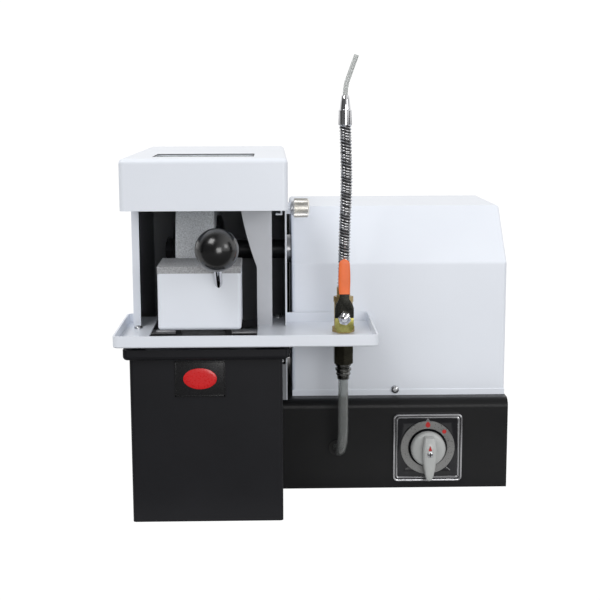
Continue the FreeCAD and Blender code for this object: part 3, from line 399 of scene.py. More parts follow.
rivet_tree, given, result = new_tree("rivet_row", {"Count": RIVETS, "Pitch": 0.02})
pitch = step(rivet_tree, "ShaderNodeCombineXYZ", {"X": given["Pitch"]})
line = step(rivet_tree, "GeometryNodeMeshLine", {"Count": given["Count"], "Offset": pitch})
rivets = step(rivet_tree, "GeometryNodeInstanceOnPoints", {"Points": line, "Instance": given["Geometry"]})
end_tree(rivet_tree, result, rivets, zinc)
for leaf, body in (("hinge_fixed_leaf", "frame"), ("hinge_moving_leaf", "cap")):
    low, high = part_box(leaf)
    spacing = (high.x - low.x) / RIVETS
    middle_z = low.z + 0.010 if body == "frame" else high.z - 0.010
    first = Vector((low.x + spacing / 2, low.y + LEAF_THICK, middle_z))
    dome = [(0, 0), (0, RIVET_R), (RIVET_TALL * 0.4, RIVET_R * 0.92), (RIVET_TALL * 0.8, RIVET_R * 0.6),
        (RIVET_TALL, 0)]
    row = grown(turned(leaf.replace("leaf", "rivets"), dome, first, (0, 1, 0), zinc, sides=20),
        rivet_tree, {"Count": RIVETS, "Pitch": spacing})
    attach(row, body)

# Grinding chamber
# A box of white-coated sheet that is black inside: the inner faces carry a dull black coat, and the
# front flanges and the outside are white. It is screwed down on the base.
WALL_HALF = 0.0008
FLANGE_DEEP = 0.0019
COVER_GAP = 0.0036
INSIDE_BLACK = (0.26, 0.27, 0.29, 1)

low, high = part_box("chamber_shell")
two_tone = finish("chamber_two_tone", WHITE, 0.4, mottle=0.02, patch=14, grain=420, relief=0.000018)
tree = two_tone.node_tree
axes = step(tree, "ShaderNodeSeparateXYZ", {0: tree.nodes["Texture Coordinate"].outputs["Object"]})
inside = 1.0
for axis, limit, side in (("X", low.x + WALL_HALF, "GREATER_THAN"), ("X", high.x - COVER_GAP - WALL_HALF,
        "LESS_THAN"), ("Y", low.y + FLANGE_DEEP, "GREATER_THAN"), ("Y", high.y - WALL_HALF, "LESS_THAN")):
    inside = reckon(tree, inside, "MULTIPLY", reckon(tree, axes.outputs[axis], side, limit))
coats = step(tree, "ShaderNodeMix", {"Factor": inside, 6: tree.nodes["tint"], 7: INSIDE_BLACK},
    data_type="RGBA")
tree.links.new(coats.outputs[2], tree.nodes["Principled BSDF"].inputs["Base Color"])
dress(two_tone, "chamber_shell")

# Guard plate
# A curved plate of satin grey sheet beside the wheel, which keeps spray off the spindle's bearing.
dress(finish("satin_grey_sheet", (0.58, 0.595, 0.63), 0.42, metallic=0.25, mottle=0.03, patch=30,
    grain=700, relief=0.000008), "inner_baffle")

# Drip pan and tray brackets
# Folded from zinc-plated steel. The pan carries the water forward into the tank, and the brackets
# hold the tray on the chamber's walls.
dress(zinc, "drip_pan", "tray_brackets")

# Grinding wheel
# A wheel of grey bonded abrasive, pressed and fired. Its rim is open and gritty, with pits where
# grains have torn out, and its sides are smoother.
GRIT = 0.00035
PITS_PER_METRE = 900
RIM_ROWS = 34
WHEEL_SIDES = 420
WHEEL_BORE_R = 0.0075
RIM_CHAMFER = 0.0012
RIM_EDGE = 0.0008

low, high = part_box("grinding_wheel")
wheel_foot = Vector((low.x, (low.y + high.y) / 2, (low.z + high.z) / 2))
wheel_wide = high.x - low.x
wheel_r = (high.z - low.z) / 2
face = [WHEEL_BORE_R, wheel_r * 0.45, wheel_r * 0.8, wheel_r - RIM_CHAMFER]
profile = [(0, radius) for radius in face]
rim_wide = wheel_wide - 2 * RIM_EDGE
profile += [(RIM_EDGE + rim_wide * row / RIM_ROWS, wheel_r - 0.0001) for row in range(RIM_ROWS + 1)]
profile += [(wheel_wide, radius) for radius in reversed(face)]
abrasive = finish("bonded_abrasive", (0.66, 0.68, 0.705), 0.85, mottle=0.26, patch=900, grain=2600,
    relief=0.00012)
abrasive.node_tree.nodes["cloud"].inputs["Detail"].default_value = 8
wheel = turned("wheel_rim_and_sides", profile, wheel_foot, (1, 0, 0), abrasive, sides=WHEEL_SIDES,
    closed=True)
for vertex in wheel.data.vertices:
    off_axis = Vector((0, vertex.co.y - wheel_foot.y, vertex.co.z - wheel_foot.z))
    if off_axis.length > wheel_r * 0.98:
        spot = vertex.co * PITS_PER_METRE
        grain = noise.noise(spot) + 0.5 * noise.noise(spot * 2.3)
        vertex.co -= off_axis.normalized() * GRIT * max(0, 0.5 - grain)
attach(wheel, "wheel")
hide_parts("grinding_wheel")

# Wheel flanges, arbor nut and spindle
# Two turned steel flanges clamp the wheel, and the arbor nut holds them, all black-oxided like the
# spindle. A bright spacer crosses the gap between the chamber and the cover. The rest's pivot and
# the motor's shaft are ground bright.
black_oxide = finish("black_oxide", (0.022, 0.022, 0.024), 0.38, metallic=0.6, mottle=0.15, patch=90,
    grain=1200, relief=0.000008)
ground_steel = finish("ground_steel", (0.36, 0.36, 0.37), 0.30, metallic=1.0, mottle=0.06,
    streak=(6, 1, 1))
dress(black_oxide, "wheel_flanges", "arbor_nut", "spindle")
dress(ground_steel, "rest_pivot", "motor_shaft")
low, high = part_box("spindle")
wall_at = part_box("chamber_shell")[1].x
spacer_foot = Vector((wall_at - 0.0032, (low.y + high.y) / 2, (low.z + high.z) / 2))
journal_r = (high.z - low.z) / 2
profile = [(along, journal_r + over) for along, over in ((0, 0), (0, 0.0009), (0.0003, 0.0012),
    (0.0039, 0.0012), (0.0042, 0.0009), (0.0042, 0))]
spacer = turned("spindle_spacer", profile, spacer_foot, (1, 0, 0), ground_steel, closed=True)
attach(spacer, "wheel")

# Work rest
# A cast-alloy arm swings on the pivot shaft. A rough steel wear plate is screwed on its top, and a
# white folded cover closes its front and sides.
PLATE_CELLS = 64
TOOTH = 0.00032
TEETH_PER_METRE = 620

dress(finish("sand_cast_alloy", (0.36, 0.365, 0.38), 0.6, metallic=0.8, patch=90, relief=0.00008),
    "rest_arm")
dress(white_coat, "rest_front")
low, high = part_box("rest_plate")
shape = bmesh.new()
bmesh.ops.create_cube(shape, size=1)
size = high - low
for vertex in shape.verts:
    vertex.co = Vector([low[axis] + (vertex.co[axis] + 0.5) * size[axis] for axis in range(3)])
bmesh.ops.subdivide_edges(shape, edges=shape.edges, cuts=PLATE_CELLS, use_grid_fill=True)
for vertex in shape.verts:
    from_edge = min(vertex.co[axis] - low[axis] for axis in range(2))
    from_edge = min(from_edge, *[high[axis] - vertex.co[axis] for axis in range(2)])
    if vertex.co.z > high.z - 1e-6 and from_edge > 0.0009:
        spot = vertex.co * TEETH_PER_METRE
        bite = noise.noise(spot) + 0.6 * noise.noise(spot * 2.1)
        vertex.co.z -= TOOTH * max(0, 0.6 - bite)
    elif vertex.co.z > high.z - 1e-6:
        vertex.co.z -= 0.0001
wear_steel = finish("worn_rough_steel", (0.42, 0.425, 0.44), 0.62, metallic=0.3, mottle=0.30, patch=700,
    grain=1800, relief=0.00010)
wear_plate = built("rest_wear_plate", shape, wear_steel, sharp=50)
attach(wear_plate, "rest")
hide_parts("rest_plate")

# Lever rod and ball knob
# A chromed rod screws into the rest, and a polished black phenolic ball with a flat and a bore at
# its foot is screwed on the rod's end.
BALL_STEPS = 28
FLAT_SHARE = 0.30

chrome = finish("polished_chrome", (0.72, 0.72, 0.74), 0.07, metallic=1.0, mottle=0.02, grain=700,
    relief=0.000003)
dress(chrome, "lever_rod")
low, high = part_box("ball_knob")
ball_middle = (low + high) / 2
ball_r = (high.z - low.z) / 2
rod_low, rod_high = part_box("lever_rod")
rod_way = (ball_middle - (rod_low + rod_high) / 2).normalized()
rod_r = (rod_high.x - rod_low.x) / 2
flat_turn = math.asin(FLAT_SHARE)
profile = [(-ball_r * 0.55, rod_r), (-ball_r * math.cos(flat_turn) + 0.0004, rod_r),
    (-ball_r * math.cos(flat_turn), rod_r + 0.0004)]
for number in range(BALL_STEPS + 1):
    turn = flat_turn + (math.pi - flat_turn) * number / BALL_STEPS
    profile.append((-ball_r * math.cos(turn), ball_r * math.sin(turn) if number < BALL_STEPS else 0))
phenolic = tune(finish("polished_phenolic", (0.003, 0.003, 0.0035), 0.21, mottle=0.2, patch=40, grain=300,
    relief=0.000003), Specular_IOR_Level=0.80, Coat_Weight=0.08, Coat_Roughness=0.06)
ball = turned("black_ball_knob", profile, ball_middle, rod_way, phenolic, sides=96)
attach(ball, "rest")
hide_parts("ball_knob")

# Cap lock
# A knurled thumb screw of satin nickel-plated brass, with a washer, draws the cap's tab against the
# chamber's wall. Its head has a straight knurl, chamfered rims and a turned recess in its face.
KNURLS = 56
KNURL_DEEP = 0.00045
STUD_R = 0.003
THREAD_PITCH = 0.00125

low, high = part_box("lock_screw")
washer_low, washer_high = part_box("lock_washer")
lock_foot = Vector((low.x, (low.y + high.y) / 2, (low.z + high.z) / 2))
head_r = (high.z - low.z) / 2
head_from = washer_high.x - low.x + 0.0003
head_to = high.x - low.x
core_r = head_r - KNURL_DEEP
nickel = finish("satin_nickel", (0.84, 0.82, 0.77), 0.30, metallic=1.0, mottle=0.05, patch=80,
    streak=(1, 3, 3))
profile = [(0, 0), (0, STUD_R * 0.8)]
ridges = int((head_from - 0.0004) / THREAD_PITCH)
for number in range(ridges):
    profile += [(THREAD_PITCH * (number + 0.30), STUD_R * 0.86), (THREAD_PITCH * (number + 0.65), STUD_R)]
profile += [(head_from - 0.0002, STUD_R), (head_from, STUD_R + 0.0002), (head_from, core_r - 0.0012),
    (head_from + 0.0010, core_r), (head_to - 0.0014, core_r), (head_to - 0.0005, core_r - 0.0010),
    (head_to - 0.0001, core_r - 0.0022), (head_to - 0.0005, core_r - 0.0030), (head_to - 0.0006, 0)]


def spread(tree, count, start=0.0):
    """A rotation for each instance, even round a circle from this angle on."""
    share = reckon(tree, 2 * math.pi, "DIVIDE", count)
    ordinal = step(tree, "GeometryNodeInputIndex", {})
    angle = reckon(tree, reckon(tree, ordinal, "MULTIPLY", share), "ADD", start)
    return step(tree, "ShaderNodeCombineXYZ", {"Z": angle})


def lifted(tree, geometry, height):
    """Moves geometry up."""
    rise = step(tree, "ShaderNodeCombineXYZ", {"Z": height})
    return step(tree, "GeometryNodeTransform", {"Geometry": geometry, "Translation": rise})


knurl_tree, given, result = new_tree("straight_knurl", {"Count": KNURLS, "Radius": core_r, "From": 0.01,
    "Length": 0.01})
circle = step(knurl_tree, "GeometryNodeMeshCircle",
    {"Vertices": given["Count"], "Radius": given["Radius"]})
turn = spread(knurl_tree, given["Count"])
ridge = step(knurl_tree, "GeometryNodeMeshCone", {"Vertices": 4, "Side Segments": 1,
    "Radius Top": 0.00030, "Radius Bottom": 0.00046, "Depth": given["Length"]})
ribs = step(knurl_tree, "GeometryNodeInstanceOnPoints", {"Points": circle, "Instance": ridge,
    "Rotation": turn})
raised = lifted(knurl_tree, ribs, given["From"])
both = step(knurl_tree, "GeometryNodeJoinGeometry", {})
knurl_tree.links.new(raised.outputs[0], both.inputs[0])
knurl_tree.links.new(given["Geometry"], both.inputs[0])
laid = step(knurl_tree, "GeometryNodeTransform", {"Geometry": both, "Rotation": (0, math.pi / 2, 0),
    "Translation": lock_foot})
end_tree(knurl_tree, result, laid, nickel)
lock = grown(turned("knurled_lock_screw", profile, Vector((0, 0, 0)), (0, 0, 1), nickel, sides=64),
    knurl_tree, {"Count": KNURLS, "Radius": core_r - 0.0001, "From": head_from + 0.001,
    "Length": head_to - head_from - 0.0026})
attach(lock, "lock")
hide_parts("lock_screw")

washer_foot = Vector((washer_low.x, lock_foot.y, lock_foot.z))
washer_thick = washer_high.x - washer_low.x
washer_r = (washer_high.z - washer_low.z) / 2
profile = [(0, STUD_R + 0.0003), (0, washer_r - 0.0003), (0.0003, washer_r),
    (washer_thick - 0.0003, washer_r), (washer_thick, washer_r - 0.0003), (washer_thick, STUD_R + 0.0003)]
washer = turned("lock_plain_washer", profile, washer_foot, (1, 0, 0), zinc, closed=True, sides=48)
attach(washer, "lock_slider")
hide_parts("lock_washer")

# Splash tray
# A shallow tray folded from one white-coated sheet, with rounded corners and an opening over the
# tank. Two screws hold it on the brackets.
dress(white_coat, "splash_tray")

# Water tank
# A deep box of folded sheet with an outward rim, welded at its corners and coated a dark charcoal.
# It slides out at the front to be emptied.
charcoal = tune(finish("charcoal_coat", (0.0110, 0.0112, 0.0135), 0.42, patch=22, grain=650,
    relief=0.000022), Specular_IOR_Level=0.22)
dress(charcoal, "water_tank")

# Tank badge
# A thin black plate with a raised border, stuck on the tank. Its plain emblem is a domed red oval,
# like a polished stone.
BADGE_RIM = 0.0013
EMBLEM_LIFT = 0.0003

low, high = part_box("tank_badge")
badge_black = tune(finish("badge_enamel_black", (0.004, 0.004, 0.005), 0.25, mottle=0.2, grain=500),
    Coat_Weight=0.3)
badge_red = tune(finish("badge_enamel_red", (0.62, 0.010, 0.012), 0.28, mottle=0.06, patch=120,
    grain=500), Coat_Weight=0.3)


def upright_box(x0, x1, z0, z1, y):
    """The corners of an upright rectangle that faces the front."""
    return [Vector((x0, y, z0)), Vector((x1, y, z0)), Vector((x1, y, z1)), Vector((x0, y, z1))]


plate = slab("badge_plate", upright_box(low.x, high.x, low.z, high.z, high.y),
    Vector((0, low.y - high.y + EMBLEM_LIFT, 0)), 0.00025, badge_black)
border = []
for x0, x1, z0, z1 in ((low.x, high.x, high.z - BADGE_RIM, high.z),
        (low.x, high.x, low.z, low.z + BADGE_RIM), (low.x, low.x + BADGE_RIM, low.z, high.z),
        (high.x - BADGE_RIM, high.x, low.z, high.z)):
    border.append(slab("badge_border", upright_box(x0, x1, z0, z1, low.y + 0.0006),
        Vector((0, -0.0006, 0)), 0.0002, badge_black))
middle = Vector(((low.x + high.x) / 2, low.y + EMBLEM_LIFT + 0.0002, (low.z + high.z) / 2))
oval_tall = (high.z - low.z) * 0.30
oval_wide = (high.x - low.x) * 0.34
lift = EMBLEM_LIFT + 0.0004
profile = [(0, 0), (0, 1), (lift * 0.45, 0.97), (lift * 0.8, 0.86), (lift * 0.95, 0.62), (lift, 0.3),
    (lift, 0)]
emblem = turned("badge_oval", profile, Vector((0, 0, 0)), (0, -1, 0), badge_red, sides=96)
for vertex in emblem.data.vertices:
    vertex.co = middle + Vector((vertex.co.x * oval_wide, vertex.co.y, vertex.co.z * oval_tall))
badge = together("oval_emblem_badge", plate, *border, emblem)
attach(badge, "tank")
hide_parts("tank_badge")

# Base housing
# A folded black housing with a rolled front edge carries everything. A screwed plate closes it
# from below.
black_coat = tune(finish("black_coat", (0.0090, 0.0091, 0.0098), 0.36, patch=20, grain=650,
    relief=0.000022), Specular_IOR_Level=0.22)
dress(black_coat, "base_housing", "bottom_plate")

# Grommet and cable gland
# A soft black rubber grommet lines the hole for the water tube, and a ribbed nylon gland behind the
# base takes the mains lead.
dress(rubber, "hose_grommet", "cable_gland")

# Water inlet and feed tube
# A brass barb behind the base takes a garden or laboratory hose. A soft milky vinyl tube carries the
# water through the base and up to the tap.
brass = finish("machined_brass", (0.50, 0.36, 0.15), 0.26, metallic=1.0, patch=110, grain=1200,
    relief=0.000006)
dress(brass, "inlet_spigot")
vinyl = tune(finish("clear_vinyl", (0.66, 0.68, 0.67), 0.14, mottle=0.05, grain=300, relief=0.00001),
    Transmission_Weight=0.86, IOR=1.38, Coat_Weight=0.5, Coat_Roughness=0.08)
dress(vinyl, "feed_tube")

# Tap body
# A turned and milled brass tap stands on the tray, with a spanner hexagon at its foot and another
# under its neck, where the gooseneck plugs in.
dress(brass, "valve_body")

# Tail fitting
# A compression fitting with a bronzed hexagon holds the tap from under the tray. Below it, plated
# rings and a short thread grip the feed tube.
HEX_ACROSS = 0.0162
HEX_TURNED = math.radians(-13)
TAIL_BORE = 0.003

low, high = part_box("tail_fitting")
tail_foot = Vector(((low.x + high.x) / 2, (low.y + high.y) / 2, low.z))
tail_high = high.z - low.z
hex_from = 0.014
hex_to = 0.041
bronzed = finish("dark_bronzed_steel", (0.045, 0.042, 0.030), 0.30, metallic=0.85, mottle=0.30, patch=90,
    grain=1000, relief=0.00001)
hexagon = turned("tail_hexagon", [(hex_from, TAIL_BORE), (hex_from, HEX_ACROSS * 0.50),
    (hex_from + 0.0008, HEX_ACROSS * 0.56), (hex_from + 0.0014, HEX_ACROSS * 0.60),
    (hex_to - 0.0006, HEX_ACROSS * 0.60), (hex_to, HEX_ACROSS * 0.55), (hex_to, 0.005),
    (tail_high, 0.005), (tail_high, TAIL_BORE)], tail_foot, (0, 0, 1), bronzed, across=HEX_ACROSS,
    closed=True)
hexagon.data.transform(Matrix.Translation(tail_foot) @ Matrix.Rotation(HEX_TURNED, 4, "Z") @
    Matrix.Translation(-tail_foot))
profile = [(0, TAIL_BORE), (0, 0.0050), (0.0006, 0.0055)]
for number in range(3):
    along = 0.0010 + 0.0009 * number
    profile += [(along, 0.0050), (along + 0.0004, 0.0056)]
for along, wide, tall in ((0.0040, 0.0065, 0.0016), (0.0062, 0.0060, 0.0010), (0.0078, 0.0071, 0.0022),
        (0.0105, 0.0058, 0.0010), (0.0120, 0.0069, 0.0018)):
    profile += [(along, wide - 0.0003), (along + 0.0003, wide), (along + tall - 0.0003, wide),
        (along + tall, wide - 0.0003)]
profile += [(hex_from, 0.0066), (hex_from, TAIL_BORE)]
smoky = finish("smoky_nickel", (0.22, 0.22, 0.21), 0.16, metallic=1.0, mottle=0.2, patch=150, grain=1200)
rings = turned("tail_rings", profile, tail_foot, (0, 0, 1), smoky, closed=True)
tail = together("compression_tail_fitting", hexagon, rings)
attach(tail, "frame")
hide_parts("tail_fitting")

# Tap lever
# A stamped steel lever with a yellow zinc coat, bevelled at its corners and bent forward off the
# stem. Its grip end, from the stem up, is near black.
GRIP_HALF = 0.0042
LEVER_THICK = 0.0016

low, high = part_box("valve_lever")
nut_low, nut_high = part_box("lever_nut")
stem_at = (nut_low + nut_high) / 2
plate_y = nut_high.y
wide = high.x - stem_at.x
yellow_zinc = finish("yellow_zinc", (0.36, 0.33, 0.10), 0.30, metallic=0.9, mottle=0.25, patch=150,
    grain=1200, relief=0.00001)
stain = yellow_zinc.node_tree.nodes["tint"].color_ramp
for stop, spot, colour in ((0, 0.32, (0.20, 0.19, 0.045, 1)), (1, 0.66, (0.46, 0.42, 0.14, 1))):
    stain.elements[stop].position = spot
    stain.elements[stop].color = colour
dark_zinc = finish("near_black_grip_zinc", (0.022, 0.022, 0.018), 0.26, metallic=0.8, mottle=0.35, patch=180,
    grain=1200, relief=0.00001)
outline = [(-wide, 0.0), (-wide, -0.009), (-wide + 0.0022, -0.0125), (wide - 0.0022, -0.0125),
    (wide, -0.009), (wide, 0.0)]


def lever_sheet(name, outline, coat):
    """A flat part of the lever, from an outline round its stem."""
    corners = [Vector((stem_at.x + x, plate_y, stem_at.z + z)) for x, z in outline]
    return slab(name, corners, Vector((0, LEVER_THICK, 0)), 0.0003, coat)


lower = lever_sheet("lever_foot", outline, yellow_zinc)
outline = [(-wide, 0.0001), (wide, 0.0001), (wide, 0.009), (wide - 0.0012, 0.0125), (GRIP_HALF, 0.017),
    (GRIP_HALF, 0.050), (-GRIP_HALF, 0.050), (-GRIP_HALF, 0.017), (-wide + 0.0012, 0.0125),
    (-wide, 0.009)]
upper = lever_sheet("lever_grip_end", outline, dark_zinc)
stem = turned("lever_stem", [(0, 0), (0, 0.0035), (high.y - plate_y - 0.0017, 0.0035),
    (high.y - plate_y - 0.0014, 0)], Vector((stem_at.x, plate_y + 0.0015, stem_at.z)), (0, 1, 0), chrome,
    sides=40)
profile = [(0, 0), (0, 0.003)]
for number in range(4):
    profile += [(0.0006 + 0.0011 * number, 0.00265), (0.0011 + 0.0011 * number, 0.003)]
profile += [(plate_y - low.y - 0.0008, 0.0029), (plate_y - low.y - 0.0002, 0.0020), (plate_y - low.y, 0)]
stud = turned("lever_stud", profile, Vector((stem_at.x, plate_y, stem_at.z)), (0, -1, 0), chrome,
    sides=40)
lever = together("stamped_tap_lever", lower, upper, stem, stud)
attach(lever, "tap_lever")
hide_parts("valve_lever")

# Lever nut
# A chamfered hexagon nut, bright plated, holds the lever on its stem. It stands on a round flange
# that is part of it.
nut_tall = nut_high.y - nut_low.y
across = 0.010
profile = [(0, 0.0030), (0, across * 0.60), (0.0007, across * 0.61), (0.0008, across * 0.50),
    (0.0011, across * 0.56), (0.0014, across * 0.58), (nut_tall - 0.0006, across * 0.58),
    (nut_tall - 0.0003, across * 0.55), (nut_tall, across * 0.48), (nut_tall, 0.0034),
    (nut_tall - 0.0004, 0.0030)]
nut = turned("lever_flange_nut", profile, Vector((stem_at.x, nut_high.y, stem_at.z)), (0, -1, 0), chrome,
    across=across, closed=True)
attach(nut, "tap_lever")
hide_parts("lever_nut")

# Lever sleeve
# A soft orange vinyl grip, dipped and pushed over the lever's upper end, a little fuller at its
# middle and rounded at its top.
SLEEVE_ROWS = 18
SLEEVE_SIDES = 40
ROUNDNESS = 0.55


def bridged(shape, loops, second_rows=()):
    """Joins loops of points by faces and closes both ends. These rows take the second finish."""
    for row, (outer, inner) in enumerate(zip(loops, loops[1:])):
        for number in range(len(outer)):
            after = (number + 1) % len(outer)
            face = shape.faces.new((outer[number], outer[after], inner[after], inner[number]))
            face.material_index = int(row in second_rows)
    shape.faces.new(loops[0])
    return shape.faces.new(loops[-1])


low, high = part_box("lever_sleeve")
middle = (low + high) / 2
half_x = (high.x - low.x) / 2
half_y = (high.y - low.y) / 2
shape = bmesh.new()
rows = []
for row in range(SLEEVE_ROWS + 1):
    share = row / SLEEVE_ROWS
    full = 0.90 + 0.10 * math.sin(math.pi * min(1, share * 1.15))
    if share > 0.86:
        full *= math.sqrt(max(0.02, 1 - ((share - 0.86) / 0.14) ** 2))
    ring = []
    for number in range(SLEEVE_SIDES):
        turn = 2 * math.pi * number / SLEEVE_SIDES
        x, y = (math.copysign(abs(part) ** ROUNDNESS, part) for part in (math.cos(turn), math.sin(turn)))
        at = middle.x + x * half_x * full, middle.y + y * half_y * (0.5 + 0.5 * full)
        ring.append(shape.verts.new((*at, low.z + (high.z - low.z) * share)))
    rows.append(ring)
bridged(shape, rows)
orange = tune(finish("dipped_orange_vinyl", (0.83, 0.17, 0.045), 0.38, mottle=0.07, patch=90, grain=500,
    relief=0.00002), Subsurface_Weight=0.08, Subsurface_Radius=(0.004, 0.0015, 0.0008))
sleeve = built("orange_lever_sleeve", shape, orange, sharp=60)
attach(sleeve, "tap_lever")
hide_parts("lever_sleeve")

# Gooseneck hose
# A spiral of bright flattened wire wound over a dark inner hose, stiff enough to stay where it is
# bent. It is one hose, made here in four lengths; each of the first three holds one of the frame's
# gooseneck joints, and only the last is attached, to the hose's top.
STRANDS = 3
WIRE_PITCH = 0.0026
WIRE_HALF_TALL = 0.00105
WIRE_HALF_DEEP = 0.00065
HOSE_R = 0.0050
BEND_SPREAD = 0.023
LEAD = STRANDS * WIRE_PITCH

hose_steel = finish("wound_hose_steel", (0.50, 0.50, 0.51), 0.20, metallic=1.0, mottle=0.12, patch=300,
    grain=1500, relief=0.000004)
hose_core = finish("dark_hose_core", (0.03, 0.03, 0.032), 0.5, metallic=0.4, mottle=0.15, patch=300,
    grain=1500, relief=0.00001)
bends = {joint["name"]: Vector(joint["pos_m"]) for joint in frame["joints"] if
    joint["name"].startswith("hose_bend")}
first_bend, second_bend, third_bend = (bends["hose_bend_" + part] for part in ("low", "mid", "top"))
nozzle_low, nozzle_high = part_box("hose_nozzle")
hose_end = Vector(((nozzle_low.x + nozzle_high.x) / 2, first_bend.y, nozzle_low.z + 0.001))
hose_start = Vector((first_bend.x, first_bend.y, first_bend.z - 0.0055))
route = [hose_start, first_bend, second_bend, third_bend, hose_end]

hose_tree, given, result = new_tree("wound_hose", {"Low": 0.0, "High": 0.1, "Route Low": 0.0,
    "Route High": 0.1, "Lead": LEAD, "Strands": STRANDS, "Radius": HOSE_R})
tall = reckon(hose_tree, given["High"], "SUBTRACT", given["Low"])
turns = reckon(hose_tree, tall, "DIVIDE", given["Lead"])
wire_r = reckon(hose_tree, given["Radius"], "SUBTRACT", WIRE_HALF_DEEP)
spiral = step(hose_tree, "GeometryNodeCurveSpiral", {"Resolution": 22, "Rotations": turns,
    "Start Radius": wire_r, "End Radius": wire_r, "Height": tall})
started = reckon(hose_tree, given["Low"], "DIVIDE", given["Lead"])
phase = reckon(hose_tree, started, "MULTIPLY", 2 * math.pi)
turn = spread(hose_tree, given["Strands"], phase)
starts = step(hose_tree, "GeometryNodePoints", {"Count": given["Strands"]})
strands = step(hose_tree, "GeometryNodeInstanceOnPoints", {"Points": starts, "Instance": spiral,
    "Rotation": turn})
loose = step(hose_tree, "GeometryNodeRealizeInstances", {"Geometry": strands})
raised = lifted(hose_tree, loose, given["Low"])
profile_wire = step(hose_tree, "GeometryNodeCurvePrimitiveCircle", {"Resolution": 8, "Radius": 1.0})
flattened = step(hose_tree, "GeometryNodeTransform",
    {"Geometry": profile_wire, "Scale": (WIRE_HALF_DEEP, WIRE_HALF_TALL, 1)})
wires = step(hose_tree, "GeometryNodeCurveToMesh", {"Curve": raised, "Profile Curve": flattened,
    "Fill Caps": True})
route_curve = step(hose_tree, "GeometryNodeMeshToCurve", {"Mesh": given["Geometry"]})
eased = step(hose_tree, "GeometryNodeCurveSplineType", {"Curve": route_curve}, spline_type="CATMULL_ROM")
place = step(hose_tree, "GeometryNodeInputPosition", {})
parts = step(hose_tree, "ShaderNodeSeparateXYZ", {"Vector": place})
share_up = step(hose_tree, "ShaderNodeMapRange",
    {"Value": parts.outputs["Z"], "From Min": given["Route Low"], "From Max": given["Route High"]})
middle_line = step(hose_tree, "GeometryNodeSampleCurve", {"Curves": eased, "Factor": share_up})
line_parts = step(hose_tree, "ShaderNodeSeparateXYZ", {"Vector": middle_line.outputs["Position"]})
moved_x = reckon(hose_tree, parts.outputs["X"], "ADD", line_parts.outputs["X"])
moved_y = reckon(hose_tree, parts.outputs["Y"], "ADD", line_parts.outputs["Y"])
new_place = step(hose_tree, "ShaderNodeCombineXYZ", {"X": moved_x, "Y": moved_y, "Z": parts.outputs["Z"]})
core_r = reckon(hose_tree, given["Radius"], "SUBTRACT", 0.00075)
core = step(hose_tree, "GeometryNodeMeshCylinder", {"Vertices": 32, "Side Segments": 24, "Radius": core_r,
    "Depth": tall})
half_tall = reckon(hose_tree, tall, "MULTIPLY", 0.5)
core_z = reckon(hose_tree, given["Low"], "ADD", half_tall)
core_up = lifted(hose_tree, core, core_z)
core_dark = step(hose_tree, "GeometryNodeSetMaterial", {"Geometry": core_up, "Material": hose_core})
wires_bright = step(hose_tree, "GeometryNodeSetMaterial", {"Geometry": wires, "Material": hose_steel})
wound = step(hose_tree, "GeometryNodeJoinGeometry", {})
hose_tree.links.new(core_dark.outputs[0], wound.inputs[0])
hose_tree.links.new(wires_bright.outputs[0], wound.inputs[0])
bent = step(hose_tree, "GeometryNodeSetPosition", {"Geometry": wound, "Position": new_place})
hose_real = step(hose_tree, "GeometryNodeRealizeInstances", {"Geometry": bent})
hose_tree.links.new(hose_real.outputs[0], result.inputs[0])

cuts = [hose_start.z, (first_bend.z + second_bend.z) / 2, (second_bend.z + third_bend.z) / 2,
    third_bend.z + BEND_SPREAD, hose_end.z]
lengths = (("gooseneck_foot", ("frame", "hose_low"), first_bend, "gooseneck_lower"),
    ("gooseneck_second", ("hose_low", "hose_mid"), second_bend, "gooseneck_middle"),
    ("gooseneck_third", ("hose_mid", "hose_top"), third_bend, "gooseneck_upper"),
    ("gooseneck_end", ("hose_top",), None, "gooseneck_upper"))
for (name, bodies, bend, node), low_z, high_z in zip(lengths, cuts, cuts[1:]):
    line = bpy.data.meshes.new(name)
    line.from_pydata([tuple(point) for point in route], [(n, n + 1) for n in range(len(route) - 1)], [])
    hose = placed(name, line)
    grown(hose, hose_tree, {"Low": low_z, "High": high_z, "Route Low": hose_start.z,
        "Route High": hose_end.z, "Lead": LEAD, "Strands": STRANDS, "Radius": HOSE_R}, sharp=60)
    if bend is None:
        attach(hose, bodies[0])
    else:
        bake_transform(hose)
    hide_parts(node)

# Hose nozzle
# A turned, chromed ferrule on the hose's end: a short barrel, a groove and a cone, bored for the
# curved tip, which is a length of milky clear vinyl tube.
low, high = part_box("hose_nozzle")
nozzle_foot = Vector(((low.x + high.x) / 2, (low.y + high.y) / 2, low.z))
barrel_r = (high.x - low.x) / 2
tip_r = 0.0034
tall = high.z - low.z
profile = [(0.0012, HOSE_R + 0.0001), (0, HOSE_R + 0.0001), (0, barrel_r - 0.0006), (0.0006, barrel_r),
    (0.0126, barrel_r), (0.0132, barrel_r - 0.0004), (0.0134, barrel_r - 0.0010),
    (0.0190, barrel_r - 0.0016), (tall - 0.0006, tip_r), (tall, tip_r - 0.0005), (tall, 0.00222),
    (0.0012, 0.00222)]
nozzle = turned("chromed_nozzle", profile, nozzle_foot, (0, 0, 1), chrome, closed=True)
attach(nozzle, "hose_top")
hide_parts("hose_nozzle")
dress(tune(finish("milky_vinyl", (0.80, 0.82, 0.81), 0.16, mottle=0.05, grain=300, relief=0.000006),
    Transmission_Weight=0.55, IOR=1.35), "nozzle_tip")
